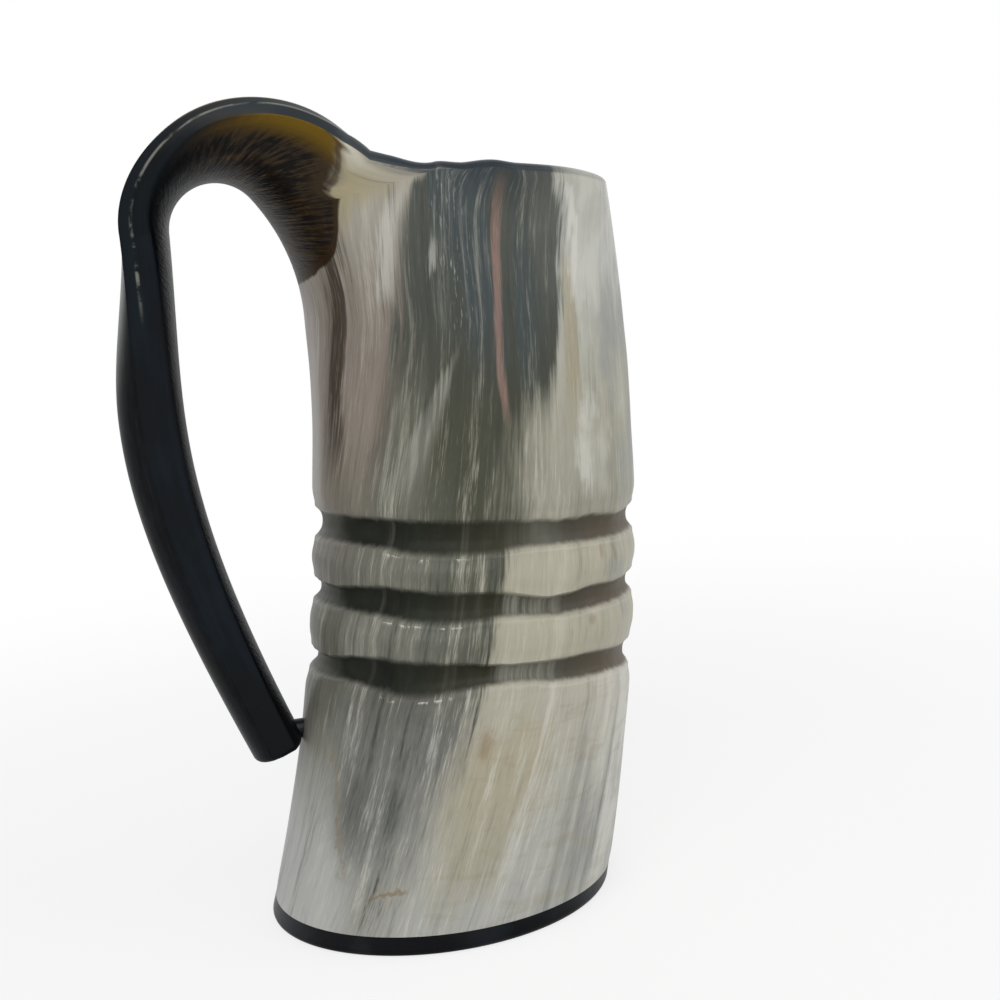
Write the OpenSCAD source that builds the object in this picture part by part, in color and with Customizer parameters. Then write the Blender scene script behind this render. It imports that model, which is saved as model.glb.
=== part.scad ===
// Drinking tankard made from one cattle horn.
// The wide end of the horn is the cup. The narrow end is cut down to a tongue,
// bent over in an arch and brought down to the wall as the handle.
// Origin: middle of the flat underside. +Z up, handle toward -X.

/* [Cup] */
// Height of the rim above the table, on the centre line
cup_height = 155.5; // [150:0.5:170]
// Half the width at the foot, measured across the handle direction
foot_half = 37.4; // [35:0.1:41]
// Half the width at the rim
rim_half = 33.7; // [31:0.1:36]
// How far the waist draws in against a straight taper
waist_in = 0.8; // [0:0.1:2]
// Depth front to back as a share of the width
oval_share = 0.94; // [0.88:0.01:1]
// How far the rim stands off the foot, away from the handle
lean = 17.2; // [12:0.1:20]
// How far the centre line bows out between foot and rim
bow = 6.9; // [4:0.1:8]
// Slope of the rim, falling away from the handle (degrees)
rim_slope = 7.2; // [3:0.1:9]
// Thickness of the horn wall
wall = 4.5; // [4:0.1:5.5]
// Roundness of the polished rim
rim_round = 1.6; // [0.8:0.1:2]

/* [Carved grooves] */
// Height of the top groove
groove_top_z = 83.4; // [81:0.1:86]
// Step down from one groove to the next
groove_step = 14.2; // [12:0.1:15]
// Half the height of a groove
groove_half = 3.3; // [2.5:0.1:3.6]
// Depth of a groove
groove_depth = 1.7; // [1:0.1:2]

/* [Handle] */
// How far below the rim the tongue starts to bend away
root_drop = 29.6; // [27:0.1:32]
// Bend radius of the root
root_radius = 41; // [36:46]
// Turn of the root bend (degrees)
root_turn = 38.2; // [34:0.1:44]
// Bend radius over the arch
arch_radius = 9.6; // [9:0.1:13]
// Turn over the arch (degrees)
arch_turn = 141.2; // [136:0.1:144]
// Slope of the grip where it meets the wall, from upright (degrees)
grip_slope = 19.9; // [14:0.1:22]
// Height of the lower end of the grip
tip_z = 40.4; // [39:0.1:42]
// Clear gap between the lower end and the wall
tip_gap = 0.6; // [0.5:0.1:1.2]
// Half the width of the tongue at the top of the arch
arch_half = 19.5; // [17:22]
// Half the width behind the fingers
shoulder_half = 13; // [11:15]
// Half the width of the grip
grip_half = 7.6; // [7:0.5:9.5]
// Hollow of the tongue at the top of the arch
arch_dish = 8.1; // [7:0.1:9]
// Hollow behind the fingers
shoulder_dish = 3.9; // [3:0.1:5.5]
// Roundness of the grip's inner face
grip_dish = 2; // [1:0.5:3]
// Thickness at the top of the arch
arch_thick = 5; // [4.5:0.1:6]
// Thickness behind the fingers
shoulder_thick = 9.5; // [8:0.1:11]
// Height of the cut side face behind the fingers
shoulder_side = 6.1; // [6:0.1:8]
// Thickness of the grip over its round back
grip_thick = 13.6; // [12:0.1:14.5]
// Thickness at the lower end
tip_thick = 11.3; // [9:0.1:12]
// Height of the cut side face of the grip
grip_side = 7.4; // [6:0.1:8]
// Height of the side face at the lower end
tip_side = 5.6; // [5:0.1:7]
// Roundness of the cut edges
edge_round = 0.7; // [0.4:0.1:1]
// Roundness of the lower end
tip_round = 1.4; // [1:0.1:2]

/* [Base plate] */
// Thickness of the flange that shows below the horn
plate_thick = 4.2; // [3.5:0.1:6]
// Roundness of its lower edge
plate_round = 1.4; // [1:0.1:3]
// Height of the plug inside the horn
plug_height = 3.2; // [2.5:0.1:5]
// Glue gap round the plug
glue_gap = 0.6; // [0.4:0.1:1]
// Leg of the glue fillet on the inside corner
fillet_leg = 1.8; // [1:0.1:3]

/* [Peg] */
// Height of the peg on the cup
peg_z = 41.5; // [40:0.1:44]
// Diameter of the shoulder that spaces the grip off the wall
shoulder_d = 4.2; // [4:0.1:5]
// Diameter of the two ends in their bores
peg_d = 2.8; // [2.4:0.1:3.2]
// Depth of the spot face cut for the shoulder
spot_depth = 1; // [0.8:0.1:1.2]
// Depth of the peg's end in the wall, under the spot face
wall_bore = 2.2; // [1.5:0.1:2.5]
// Depth of the peg's end in the grip
grip_bore = 7; // [5:0.1:8]

/* [Hidden] */
horn_colour = "#b5ae9c";
black_horn = "#15171c";
plate_colour = "#101216";
glue_colour = "#6b6250";

// Columns across the tongue and round the rest of the cup
tongue_cols = 12;
rest_cols = 27;
nq = 2 * tongue_cols + 1;
n = nq + rest_cols;
// Half angle that the tongue's root takes of the wall, and where its pull on the wall ends
root_angle = 85;
fade_angle = 106;
// Half angle left once the fillet has narrowed the root
neck_angle = 67;
// Points on a rounded edge
m = 3;
// Places along the tongue: 0 to 1 root bend, 1 to 2 arch, 2 to 3 grip
root_end_share = 0.8;
neck_share = 0.9;
crown_share = 1.5;
seam_share = 1.62;
side_share = 1.35;
grip_share = 2.4;
// Share of the height over which the section keeps level
slope_power_share = 1.6;

foot_share = plate_thick / cup_height;
root_z = cup_height - root_drop;
root_share = root_z / cup_height;

function ease(t) = let (c = max(0, min(1, t))) c * c * (3 - 2 * c);
function unit(v) = v / norm(v);

// Centre line and half widths at a share u of the height
function axis_x(u) = lean * u + bow * 4 * u * (1 - u);
function half_x(u) = foot_half + (rim_half - foot_half) * u - waist_in * 4 * u * (1 - u);
function tilt(u) = rim_slope * pow(max(0, u - foot_share) / (1 - foot_share), slope_power_share);

// Point of the wall at share u, angle a from the handle side, and depth d under the surface
function wall_at(u, a, d) = let (
    x = -(half_x(u) - d) * cos(a),
    y = (half_x(u) * oval_share - d) * sin(a))
    [axis_x(u) + x * cos(tilt(u)), y, cup_height * u - x * sin(tilt(u))];

// Grooves: wavering centre height and half height round the cup
function groove_mid(g, a) = groove_top_z - g * groove_step
    + groove_half * ((0.33 + 0.11 * g) * cos(a) - (0.1 + 0.08 * g) * cos(2 * a) - 0.16 * sin(2 * a)
        + 0.08 * cos(3 * a));
function groove_reach(g, a) = groove_half
    * (0.95 - 0.04 * g * cos(a) - 0.05 * sin(2 * a) - (0.08 + 0.04 * g) * cos(3 * a));

// Outer rows: heights from the foot to the root of the tongue.
// Every groove has five rows, so its lips stay crisp.
groove_count = 3;
lip_shares = [-1, -0.62, 0, 0.62, 1];
low_rows = 5;
high_rows = 5;
function groove_bottom(g, a) = groove_mid(g, a) - groove_reach(g, a);
function groove_lip(g, a) = groove_mid(g, a) + groove_reach(g, a);
function row_heights(a) = let (
    low = groove_bottom(groove_count - 1, a),
    high = groove_lip(0, a))
    [for (i = [0 : low_rows - 1]) [plate_thick + (low - plate_thick) * i / low_rows, 0],
     for (g = [groove_count - 1 : -1 : 0])
        each [for (s = lip_shares)
            [groove_mid(g, a) + s * groove_reach(g, a), groove_depth * (1 - s * s)]],
     for (i = [1 : high_rows]) [high + (root_z - high) * i / high_rows, 0]];
outer_low = low_rows + groove_count * len(lip_shares) + high_rows;

// Crest of the tongue: two bends and a curve that runs down to the wall.
root_point = wall_at(root_share, 0, 0);
root_before = wall_at(root_share - foot_share, 0, 0);
root_heading = atan2(root_point[2] - root_before[2], root_point[0] - root_before[0]);
function turn_to(p, r, h0, h) = [p[0] + r * (sin(h) - sin(h0)), p[1] - r * (cos(h) - cos(h0))];
arch_heading = root_heading + root_turn;
fall_heading = arch_heading + arch_turn;
arch_start = turn_to([root_point[0], root_point[2]], root_radius, root_heading, arch_heading);
fall_start = turn_to(arch_start, arch_radius, arch_heading, fall_heading);
tip_wall = wall_at(tip_z / cup_height, 0, 0);
tip_end = [tip_wall[0] - tip_gap, tip_wall[2]];
pull = norm(tip_end - fall_start) / 3;
tip_pull_share = 1.7;
curve_points = [fall_start,
    fall_start + pull * [cos(fall_heading), sin(fall_heading)],
    tip_end - pull * tip_pull_share * [sin(grip_slope), -cos(grip_slope)],
    tip_end];
function bezier(c, t) = c[0] * pow(1 - t, 3) + c[1] * 3 * t * pow(1 - t, 2)
    + c[2] * 3 * t * t * (1 - t) + c[3] * pow(t, 3);
function bezier_way(c, t) = (c[1] - c[0]) * pow(1 - t, 2)
    + (c[2] - c[1]) * 2 * t * (1 - t) + (c[3] - c[2]) * t * t;
function crest(w) = w < 1
    ? turn_to([root_point[0], root_point[2]], root_radius, root_heading, root_heading + root_turn * w)
    : w < 2 ? turn_to(arch_start, arch_radius, arch_heading, arch_heading + arch_turn * (w - 1))
    : bezier(curve_points, w - 2);
function crest_way(w) = let (d = bezier_way(curve_points, w - 2)) atan2(d[1], d[0]);
function way(w) = w < 1 ? root_heading + root_turn * w
    : w < 2 ? arch_heading + arch_turn * (w - 1)
    : crest_way(w);
// Only the middle of the root bends early. Its sections start level with the wall's own ring,
// stay behind the crest's heading up to the root's end and catch up over the arch.
lag_places_share = [0, root_end_share, 1, 1.25, crown_share, 3];
lag_angles = [root_heading - 90 + tilt(root_share), 18.2, 11, 7, 0, 0];
function heading(w) = way(w) - smooth(lag_places_share, lag_angles, w);

// Smooth curve through values y at places x
function slope_at(x, y, i) = i == 0 ? (y[1] - y[0]) / (x[1] - x[0])
    : i == len(x) - 1 ? (y[i] - y[i - 1]) / (x[i] - x[i - 1])
    : (y[i + 1] - y[i - 1]) / (x[i + 1] - x[i - 1]);
function find_span(x, t, i = 0) = i >= len(x) - 2 || t < x[i + 1] ? i : find_span(x, t, i + 1);
function smooth(x, y, t) = let (
    i = find_span(x, t),
    h = x[i + 1] - x[i],
    s = max(0, min(1, (t - x[i]) / h)))
    y[i] * (2 * s * s * s - 3 * s * s + 1) + y[i + 1] * (3 * s * s - 2 * s * s * s)
    + slope_at(x, y, i) * h * (s * s * s - 2 * s * s + s)
    + slope_at(x, y, i + 1) * h * (s * s * s - s * s);

// Section of the tongue: half width, hollow, thickness and cut edge, from the wall's own ring at the neck
ring_x = half_x(root_share);
ring_y = ring_x * oval_share;
neck_half = ring_y * sin(neck_angle);
neck_dish = ring_x * (1 - cos(neck_angle));
place_shares = [neck_share, crown_share, 2, grip_share, 3];
half_list = [neck_half, arch_half, shoulder_half, grip_half, grip_half];
dish_list = [neck_dish, arch_dish, shoulder_dish, grip_dish, grip_dish];
thick_list = [wall, arch_thick, shoulder_thick, grip_thick, tip_thick];
side_list = [wall, wall, shoulder_side, grip_side, tip_side];
cut_places_share = [neck_share, 1.2, crown_share, 2, grip_share, 3];
cut_angles = [neck_angle, 35, 13, 8, 4, 4];
// The fillet: share k runs from the root to the neck
neck_power_share = 0.7;
function neck_k(w) = min(1, pow(max(0, w - root_end_share) / (neck_share - root_end_share), neck_power_share));
function half_angle(w) = root_angle + (neck_angle - root_angle) * neck_k(w);
function past_neck(w) = w > neck_share;
function half_of(w) = past_neck(w) ? smooth(place_shares, half_list, w) : ring_y * sin(half_angle(w));
function dish_of(w) = past_neck(w) ? smooth(place_shares, dish_list, w)
    : ring_x * (1 - cos(half_angle(w)));
function thick_of(w) = past_neck(w) ? smooth(place_shares, thick_list, w) : wall;
function side_of(w) = past_neck(w) ? smooth(place_shares, side_list, w) : wall;
function cut_of(w) = past_neck(w) ? smooth(cut_places_share, cut_angles, w) : half_angle(w);

function across(w) = [sin(heading(w)), 0, -cos(heading(w))];
function along(w) = [cos(heading(w)), 0, sin(heading(w))];
function crest_at(w) = [crest(w)[0], 0, crest(w)[1]];

// Section points at place w: q runs -1 to 1 over the width
function outer_q(w, q) = let (e = half_angle(w))
    crest_at(w) + across(w) * dish_of(w) * (1 - cos(q * e)) / (1 - cos(e))
    + [0, half_of(w), 0] * sin(q * e) / sin(e);
function inner_q(w, q) = let (
    e = half_angle(w),
    rise = dish_of(w) + side_of(w) * cos(cut_of(w)) - thick_of(w),
    reach = half_of(w) - side_of(w) * sin(cut_of(w)))
    crest_at(w) + across(w) * (thick_of(w) + rise * (1 - cos(q * e)) / (1 - cos(e)))
    + [0, reach, 0] * sin(q * e) / sin(e);
// Way that a cut edge faces: up at the rim, sideways along the grip
function edge_way(w, s) = let (
    g = 90 * ease((w - root_end_share) / (side_share - root_end_share)),
    side = across(w) * sin(cut_of(w)) + [0, s, 0] * cos(cut_of(w)))
    unit(along(w) * cos(g) + side * sin(g));
function edge_bulge(w) = rim_round + (edge_round - rim_round) * ease((w - root_end_share) / (1 - root_end_share));
function edge_points(w, s) = [for (k = [1 : m]) let (
    a = 180 * k / (m + 1),
    o = outer_q(w, s),
    i = inner_q(w, s))
    (o + i) / 2 + (o - i) / 2 * cos(a) + edge_way(w, s) * edge_bulge(w) * sin(a)];
function section(w) = concat(
    [for (j = [0 : nq - 1]) outer_q(w, j / tongue_cols - 1)],
    edge_points(w, 1),
    [for (j = [nq - 1 : -1 : 0]) inner_q(w, j / tongue_cols - 1)],
    [for (p = [m - 1 : -1 : 0]) edge_points(w, -1)[p]]);
ring_count = 2 * nq + 2 * m;

// Angle of each column of the cup; the first nq belong to the tongue
function column(j) = j < nq ? root_angle * (j / tongue_cols - 1)
    : root_angle + (360 - 2 * root_angle) * (j - nq + 1) / (rest_cols + 1);
function off_handle(a) = a > 180 ? 360 - a : abs(a);
// Share of the tongue's pull on a column
function pull_share(a) = 1 - ease((off_handle(a) - root_angle) / (fade_angle - root_angle));
// Wall between the root height and the rim: v runs 0 to 1, d is the depth under the surface
function upper_at(v, a, d) = let (
    still = wall_at(root_share + (1 - root_share) * v, a, d),
    w = root_end_share * v,
    bent = crest_at(w) + across(w) * (ring_x - (ring_x - d) * cos(a)) + [0, (ring_y - d) * sin(a), 0])
    still + (bent - still) * pull_share(a);
function rim_way(a) = unit([sin(tilt(1)), 0, cos(tilt(1))] * (1 - pull_share(a))
    + along(root_end_share) * pull_share(a));
upper_rows = 4;
inner_low_shares = [0, 0.16, 0.36, 0.58, 0.8, 1];
seal_top = plate_thick + plug_height + fillet_leg;
outer_rows = outer_low + upper_rows;
inner_rows = len(inner_low_shares) + upper_rows;

// Rows of the tongue after the root: close together in the fillet
fillet_rows = 4;
function rows_between(a, b, c) = [for (i = [1 : c]) a + (b - a) * i / c];
root_rows = concat(
    [for (i = [1 : fillet_rows]) root_end_share
        + (neck_share - root_end_share) * pow(i / fillet_rows, 2)],
    rows_between(neck_share, seam_share, 9));
grip_rows = concat([seam_share], rows_between(seam_share, 2, 5), rows_between(2, 3, 14));

module horn_shell() {
    outer = [for (i = [0 : outer_rows]) for (j = [0 : n - 1]) let (a = column(j))
        i <= outer_low - 1
            ? let (h = row_heights(a)[i]) wall_at(h[0] / cup_height, a, h[1])
            : upper_at((i - outer_low + 1) / (upper_rows + 1), a, 0)];
    inner = [for (i = [0 : inner_rows]) for (j = [0 : n - 1]) let (a = column(j), c = len(inner_low_shares))
        i == 0 ? wall_at(foot_share, a, wall)
            : i <= c ? wall_at((seal_top + (root_z - seal_top) * inner_low_shares[i - 1]) / cup_height, a, wall)
            : upper_at((i - c) / upper_rows, a, wall)];
    rim = [for (k = [0 : rest_cols - 1]) for (p = [1 : m]) let (
        a = column(nq + k),
        s = 180 * p / (m + 1),
        o = upper_at(1, a, 0),
        i = upper_at(1, a, wall))
        (o + i) / 2 + (o - i) / 2 * cos(s) + rim_way(a) * rim_round * sin(s)];
    corner_a = edge_points(root_end_share, 1);
    corner_b = edge_points(root_end_share, -1);
    loops = [for (w = root_rows) each section(w)];
    inner0 = len(outer);
    rim0 = inner0 + len(inner);
    ca0 = rim0 + len(rim);
    cb0 = ca0 + m;
    loop0 = cb0 + m;
    function o_at(i, j) = i * n + j % n;
    function i_at(i, j) = inner0 + i * n + j % n;
    function chain(k) = let (j = (nq - 1 + k) % n)
        [o_at(outer_rows, j),
         for (p = [0 : m - 1]) k == 0 ? ca0 + p : k == rest_cols + 1 ? cb0 + p : rim0 + (k - 1) * m + p,
         i_at(inner_rows, j)];
    function loop_at(r, p0) = let (p = p0 % ring_count)
        r > 0 ? loop0 + (r - 1) * ring_count + p
        : p < nq ? o_at(outer_rows, p)
        : p < nq + m ? ca0 + p - nq
        : p < 2 * nq + m ? i_at(inner_rows, 2 * nq + m - 1 - p)
        : cb0 + ring_count - 1 - p;
    last = len(root_rows);
    faces = concat(
        [for (i = [0 : outer_rows - 1]) for (j = [0 : n - 1])
            each [[o_at(i, j), o_at(i, j + 1), o_at(i + 1, j + 1)], [o_at(i, j), o_at(i + 1, j + 1), o_at(i + 1, j)]]],
        [for (i = [0 : inner_rows - 1]) for (j = [0 : n - 1])
            each [[i_at(i, j), i_at(i + 1, j + 1), i_at(i, j + 1)], [i_at(i, j), i_at(i + 1, j), i_at(i + 1, j + 1)]]],
        [for (j = [0 : n - 1])
            each [[o_at(0, j), i_at(0, j), i_at(0, j + 1)], [o_at(0, j), i_at(0, j + 1), o_at(0, j + 1)]]],
        [for (k = [0 : rest_cols]) let (a = chain(k), b = chain(k + 1)) for (p = [0 : m])
            each [[a[p], b[p], b[p + 1]], [a[p], b[p + 1], a[p + 1]]]],
        [for (r = [0 : last - 1]) for (p = [0 : ring_count - 1])
            each [[loop_at(r, p), loop_at(r, p + 1), loop_at(r + 1, p + 1)],
                  [loop_at(r, p), loop_at(r + 1, p + 1), loop_at(r + 1, p)]]],
        [[for (p = [0 : ring_count - 1]) loop_at(last, p)]]);
    polyhedron(points = concat(outer, inner, rim, corner_a, corner_b, loops), faces = faces, convexity = 6);
}

// Solid through a list of closed rings with equal counts, capped at both ends
module loft(rings) {
    c = len(rings[0]);
    polyhedron(
        points = [for (r = rings) each r],
        faces = concat(
            [[for (p = [c - 1 : -1 : 0]) p]],
            [for (r = [0 : len(rings) - 2]) for (p = [0 : c - 1]) let (s = (p + 1) % c)
                each [[r * c + p, r * c + s, (r + 1) * c + s], [r * c + p, (r + 1) * c + s, (r + 1) * c + p]]],
            [[for (p = [0 : c - 1]) (len(rings) - 1) * c + p]]),
        convexity = 4);
}

// Lower end of the grip, rounded by rings that shrink as they go on
end_steps = 3;
function end_ring(k) = let (
    a = 90 * k / end_steps,
    s = section(3),
    mid = (outer_q(3, 0) + inner_q(3, 0)) / 2,
    keep = 1 - tip_round * (1 - cos(a)) / grip_half)
    [for (p = s) mid + (p - mid) * keep + along(3) * tip_round * sin(a)];
module tongue() {
    loft(concat([for (w = grip_rows) section(w)], [for (k = [1 : end_steps]) end_ring(k)]));
}

// Peg: level, through the grip's middle, from the grip into the wall
peg_wall = wall_at(peg_z / cup_height, 0, 0);
// Place along the grip's curve that is as high as the peg
function find_w(a, b, k) = let (c = (a + b) / 2) k == 0 ? c
    : crest(c)[1] > peg_z ? find_w(c, b, k - 1) : find_w(a, c, k - 1);
peg_grip_x = crest(find_w(2, 3, 20))[0];
shoulder_right = peg_wall[0] + spot_depth;
shoulder_left = peg_grip_x - spot_depth;
module rod(x0, x1, d) {
    translate([x0, 0, peg_z])
        rotate([0, 90, 0])
            cylinder(h = x1 - x0, d = d, $fn = 48);
}
module peg_form() {
    union() {
        rod(shoulder_left, shoulder_right, shoulder_d);
        rod(shoulder_left - grip_bore, shoulder_right + wall_bore, peg_d);
    }
}

// Ring of the cup's outline at height z, d inside the surface
function outline(z, d) = [for (j = [0 : n - 1]) wall_at(z / cup_height, column(j), d)];

module horn_body() {
    color(horn_colour)
        difference() {
            horn_shell();
            peg_form();
        }
}

module handle() {
    color(black_horn)
        difference() {
            tongue();
            peg_form();
        }
}

module handle_peg() {
    color(black_horn)
        peg_form();
}

module base_plate() {
    edge_steps = 4;
    color(plate_colour)
        union() {
            loft([for (k = [0 : edge_steps]) let (a = 90 * k / edge_steps)
                    outline(plate_round * (1 - cos(a)), plate_round * (1 - sin(a))),
                outline(plate_thick, 0)]);
            loft([outline(plate_thick, wall + glue_gap),
                outline(plate_thick + plug_height, wall + glue_gap)]);
        }
}

module base_seal() {
    plug_top = plate_thick + plug_height;
    rings = [outline(plate_thick, wall),
        outline(seal_top, wall),
        outline(plug_top, wall + glue_gap + fillet_leg),
        outline(plug_top, wall + glue_gap),
        outline(plate_thick, wall + glue_gap)];
    c = len(rings);
    color(glue_colour)
        polyhedron(
            points = [for (r = rings) each r],
            faces = [for (r = [0 : c - 1]) for (j = [0 : n - 1])
                let (s = (r + 1) % c, k = (j + 1) % n)
                each [[r * n + j, r * n + k, s * n + k], [r * n + j, s * n + k, s * n + j]]],
            convexity = 4);
}

horn_body();
handle();
base_plate();
base_seal();
handle_peg();
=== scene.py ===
"""Looks of a drinking tankard made from one cattle horn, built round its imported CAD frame.

Every new piece is a surface worked out with numpy in millimetres, in the CAD's own frame, and written to
its mesh in metres. The peg stays the CAD's own mesh. The horn's points carry their place in the horn before
it was bent, so that the fibres of its finish run up the wall and on into the handle as they grew.
"""

import math
from types import SimpleNamespace

import bpy
import numpy as np
from bpy.props import FloatProperty, FloatVectorProperty, PointerProperty
from mathutils import Matrix, Vector


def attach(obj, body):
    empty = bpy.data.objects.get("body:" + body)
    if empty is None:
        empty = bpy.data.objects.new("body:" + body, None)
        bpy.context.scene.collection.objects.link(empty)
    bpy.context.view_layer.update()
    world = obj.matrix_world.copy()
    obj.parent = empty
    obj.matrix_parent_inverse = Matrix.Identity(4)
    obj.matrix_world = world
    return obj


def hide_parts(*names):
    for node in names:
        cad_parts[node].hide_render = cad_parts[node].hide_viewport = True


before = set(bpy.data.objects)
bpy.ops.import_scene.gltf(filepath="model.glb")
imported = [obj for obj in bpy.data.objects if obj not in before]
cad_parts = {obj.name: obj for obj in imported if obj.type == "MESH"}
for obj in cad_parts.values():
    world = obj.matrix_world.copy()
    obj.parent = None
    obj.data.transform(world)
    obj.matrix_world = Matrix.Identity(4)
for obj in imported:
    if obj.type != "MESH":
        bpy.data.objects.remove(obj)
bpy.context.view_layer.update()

bl_info = {
    "name": "Horn Tankard Looks",
    "version": (1, 0, 0),
    "blender": (4, 5, 0),
    "location": "3D Viewport > Sidebar > Tankard",
    "description": "Builds the visible surfaces and finishes of a horn drinking tankard",
    "category": "Add Mesh",
}

MM = 0.001
DEGREE = 180 / math.pi


# ---------------------------------------------------------------- sizes and colours


def length(name, about, mm):
    """A length, kept in metres as Blender keeps it, from its default in millimetres."""
    return FloatProperty(name=name, description=about, default=mm * MM, unit="LENGTH", subtype="DISTANCE")


def angle(name, about, degrees):
    """An angle, kept in radians, from its default in degrees."""
    turn = math.radians(degrees)
    return FloatProperty(name=name, description=about, default=turn, unit="ROTATION", subtype="ANGLE")


def factor(name, about, value):
    """A plain number."""
    return FloatProperty(name=name, description=about, default=value)


def linear(code):
    """A colour as it is seen on a screen, six hex digits, as Blender's linear red, green and blue."""
    seen = [int(code[i : i + 2], 16) / 255 for i in (0, 2, 4)]
    return tuple(c / 12.92 if c <= 0.04045 else ((c + 0.055) / 1.055) ** 2.4 for c in seen)


def colour(name, about, code):
    """A colour, from its default as six hex digits."""
    kind = {"size": 3, "min": 0, "max": 1, "subtype": "COLOR"}
    return FloatVectorProperty(name=name, description=about, default=linear(code), **kind)


class CupSizes(bpy.types.PropertyGroup):
    """Sizes of the cup."""

    cup_height: length("Height", "Height of the rim above the table, on the centre line", 155.5)
    foot_half: length("Foot", "Half the width at the foot", 37.4)
    rim_half: length("Rim", "Half the width at the rim", 33.7)
    waist_in: length("Waist", "How far the waist draws in against a straight taper", 0.8)
    oval_share: factor("Oval", "Depth front to back as a share of the width", 0.94)
    lean: length("Lean", "How far the rim stands off the foot, away from the handle", 17.2)
    bow: length("Bow", "How far the centre line bows out between foot and rim", 6.9)
    rim_slope: angle("Rim slope", "Slope of the rim, falling away from the handle", 7.2)
    wall: length("Wall", "Thickness of the horn wall", 4.5)
    rim_round: length("Rim roundness", "Height of the polished rim's rounding", 1.6)
    groove_depth: length("Groove depth", "Depth of a carved groove", 1.7)
    plate_thick: length("Base flange", "Thickness of the base plate's flange", 4.2)
    plate_round: length("Base edge", "Roundness of the base plate's lower edge", 1.4)
    plug_height: length("Plug", "Height of the base plate's plug in the bore", 3.2)
    glue_gap: length("Glue gap", "Gap round the plug that the glue fills", 0.6)
    fillet_leg: length("Glue fillet", "Leg of the glue fillet on the inside corner", 1.8)


class TongueSizes(bpy.types.PropertyGroup):
    """Sizes of the bent tongue that is the handle."""

    root_drop: length("Root drop", "How far below the rim the tongue starts to bend away", 29.6)
    root_radius: length("Root bend", "Bend radius of the root", 41)
    root_turn: angle("Root turn", "Turn of the root bend", 38.2)
    arch_radius: length("Arch bend", "Bend radius over the arch", 9.6)
    arch_turn: angle("Arch turn", "Turn over the arch", 141.2)
    grip_slope: angle("Grip slope", "Slope of the grip where it meets the wall, from upright", 19.9)
    tip_z: length("Tip height", "Height of the lower end of the grip", 40.4)
    tip_gap: length("Tip gap", "Clear gap between the lower end and the wall", 0.6)
    arch_half: length("Arch half width", "Half the width of the tongue at the top of the arch", 19.5)
    shoulder_half: length("Shoulder half width", "Half the width where the grip starts", 13)
    grip_half: length("Grip half width", "Half the width of the grip", 7.6)
    arch_dish: length("Arch hollow", "Hollow of the tongue at the top of the arch", 8.1)
    shoulder_dish: length("Shoulder hollow", "Hollow where the grip starts", 3.9)
    grip_dish: length("Grip roundness", "Roundness of the grip's outer face", 2)
    arch_thick: length("Arch thickness", "Thickness at the top of the arch", 5)
    shoulder_thick: length("Shoulder thickness", "Thickness where the grip starts", 9.5)
    shoulder_side: length("Shoulder side", "Height of the cut side face where the grip starts", 6.1)
    grip_thick: length("Grip thickness", "Thickness of the grip over its round back", 13.6)
    tip_thick: length("Tip thickness", "Thickness at the lower end", 11.3)
    grip_side: length("Grip side", "Height of the cut side face of the grip", 7.4)
    tip_side: length("Tip side", "Height of the side face at the lower end", 5.6)
    edge_round: length("Edge swell", "How far a cut edge's ridge stands past its corners", 0.6)
    tip_round: length("Tip roundness", "Roundness of the lower end", 1.4)


class HornColours(bpy.types.PropertyGroup):
    """Colours of the horn and of the black parts."""

    horn_pale: colour("Pale fibres", "Pale fibres of the wall", "BBB8AA")
    # Also the colour of painted highlights and reflections: the sheen where the wall turns to the handle, the dashes
    # on the groove lips and the glint
    horn_white: colour("White fibres", "The palest fibres and clouds", "CBCAC2")
    # Also the colour of the painted highlight along the cut edges' ridge
    horn_mist: colour("Misty fibres", "Grey milky fibres over dark horn", "8E8E84")
    horn_smoke: colour("Smoky fibres", "Dark fibres of the wall", "3C3F3A")
    horn_cloud: colour("Cloud", "Grey clouds on the side away from the handle", "8A8C8A")
    horn_cool: colour("Cool columns", "Blue-grey columns in the smoky middle", "3F4749")
    horn_olive: colour("Olive", "Olive lens above the grooves", "45463A")
    # Painted reflection: the lilac sheen where the wall turns away towards the handle
    horn_lilac: colour("Lilac", "Lilac cast where the wall turns to the handle", "A59B98")
    horn_brown: colour("Brown streak", "Warm dark streak under the bend", "40372F")
    horn_straw: colour("Straw", "Yellowish fibres beyond the smoky middle", "968F7A")
    horn_rose: colour("Rose streak", "The narrow rose streak", "8D746A")
    horn_ochre: colour("Ochre", "Small stains and hair cracks", "7D6742")
    # Partly painted shade: the bend's own brown, darkened as the arch's underside in shadow, and its shaded crease
    bend_brown: colour("Bend brown", "Brown of the bend", "2A1B05")
    bend_tan: colour("Bend tan", "Light threads in the bend's wrinkles", "5A4630")
    bend_mustard: colour("Bend mustard", "Yellow under the edge of the bend", "654E08")
    bend_straw: colour("Bend straw", "Yellowish wall below the bend", "9A8E64")
    horn_inner: colour("Inner horn", "The inside of the wall", "6C6558")
    horn_edge: colour("Edge slate", "The polished rim and cut edges", "222B32")
    horn_night: colour("Black horn", "The handle's black", "040507")
    horn_blue: colour("Blue-black horn", "Blue cast of the black horn", "0A1219")
    base_black: colour("Base black", "The base plate's black", "020306")
    glue: colour("Glue", "The set glue round the plug", "6B6250")


GROUPS = {"cup_sizes": CupSizes, "tongue_sizes": TongueSizes, "horn_colours": HornColours}


def sizes():
    """All named sizes in millimetres and degrees, and plain factors as they are."""
    found = SimpleNamespace()
    for place in ("cup_sizes", "tongue_sizes"):
        group = getattr(bpy.context.scene, place)
        for name in GROUPS[place].__annotations__:
            scale = {"LENGTH": 1 / MM, "ROTATION": DEGREE}.get(group.bl_rna.properties[name].unit, 1)
            setattr(found, name, getattr(group, name) * scale)
    return found


# ---------------------------------------------------------------- plain sums on arrays


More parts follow.
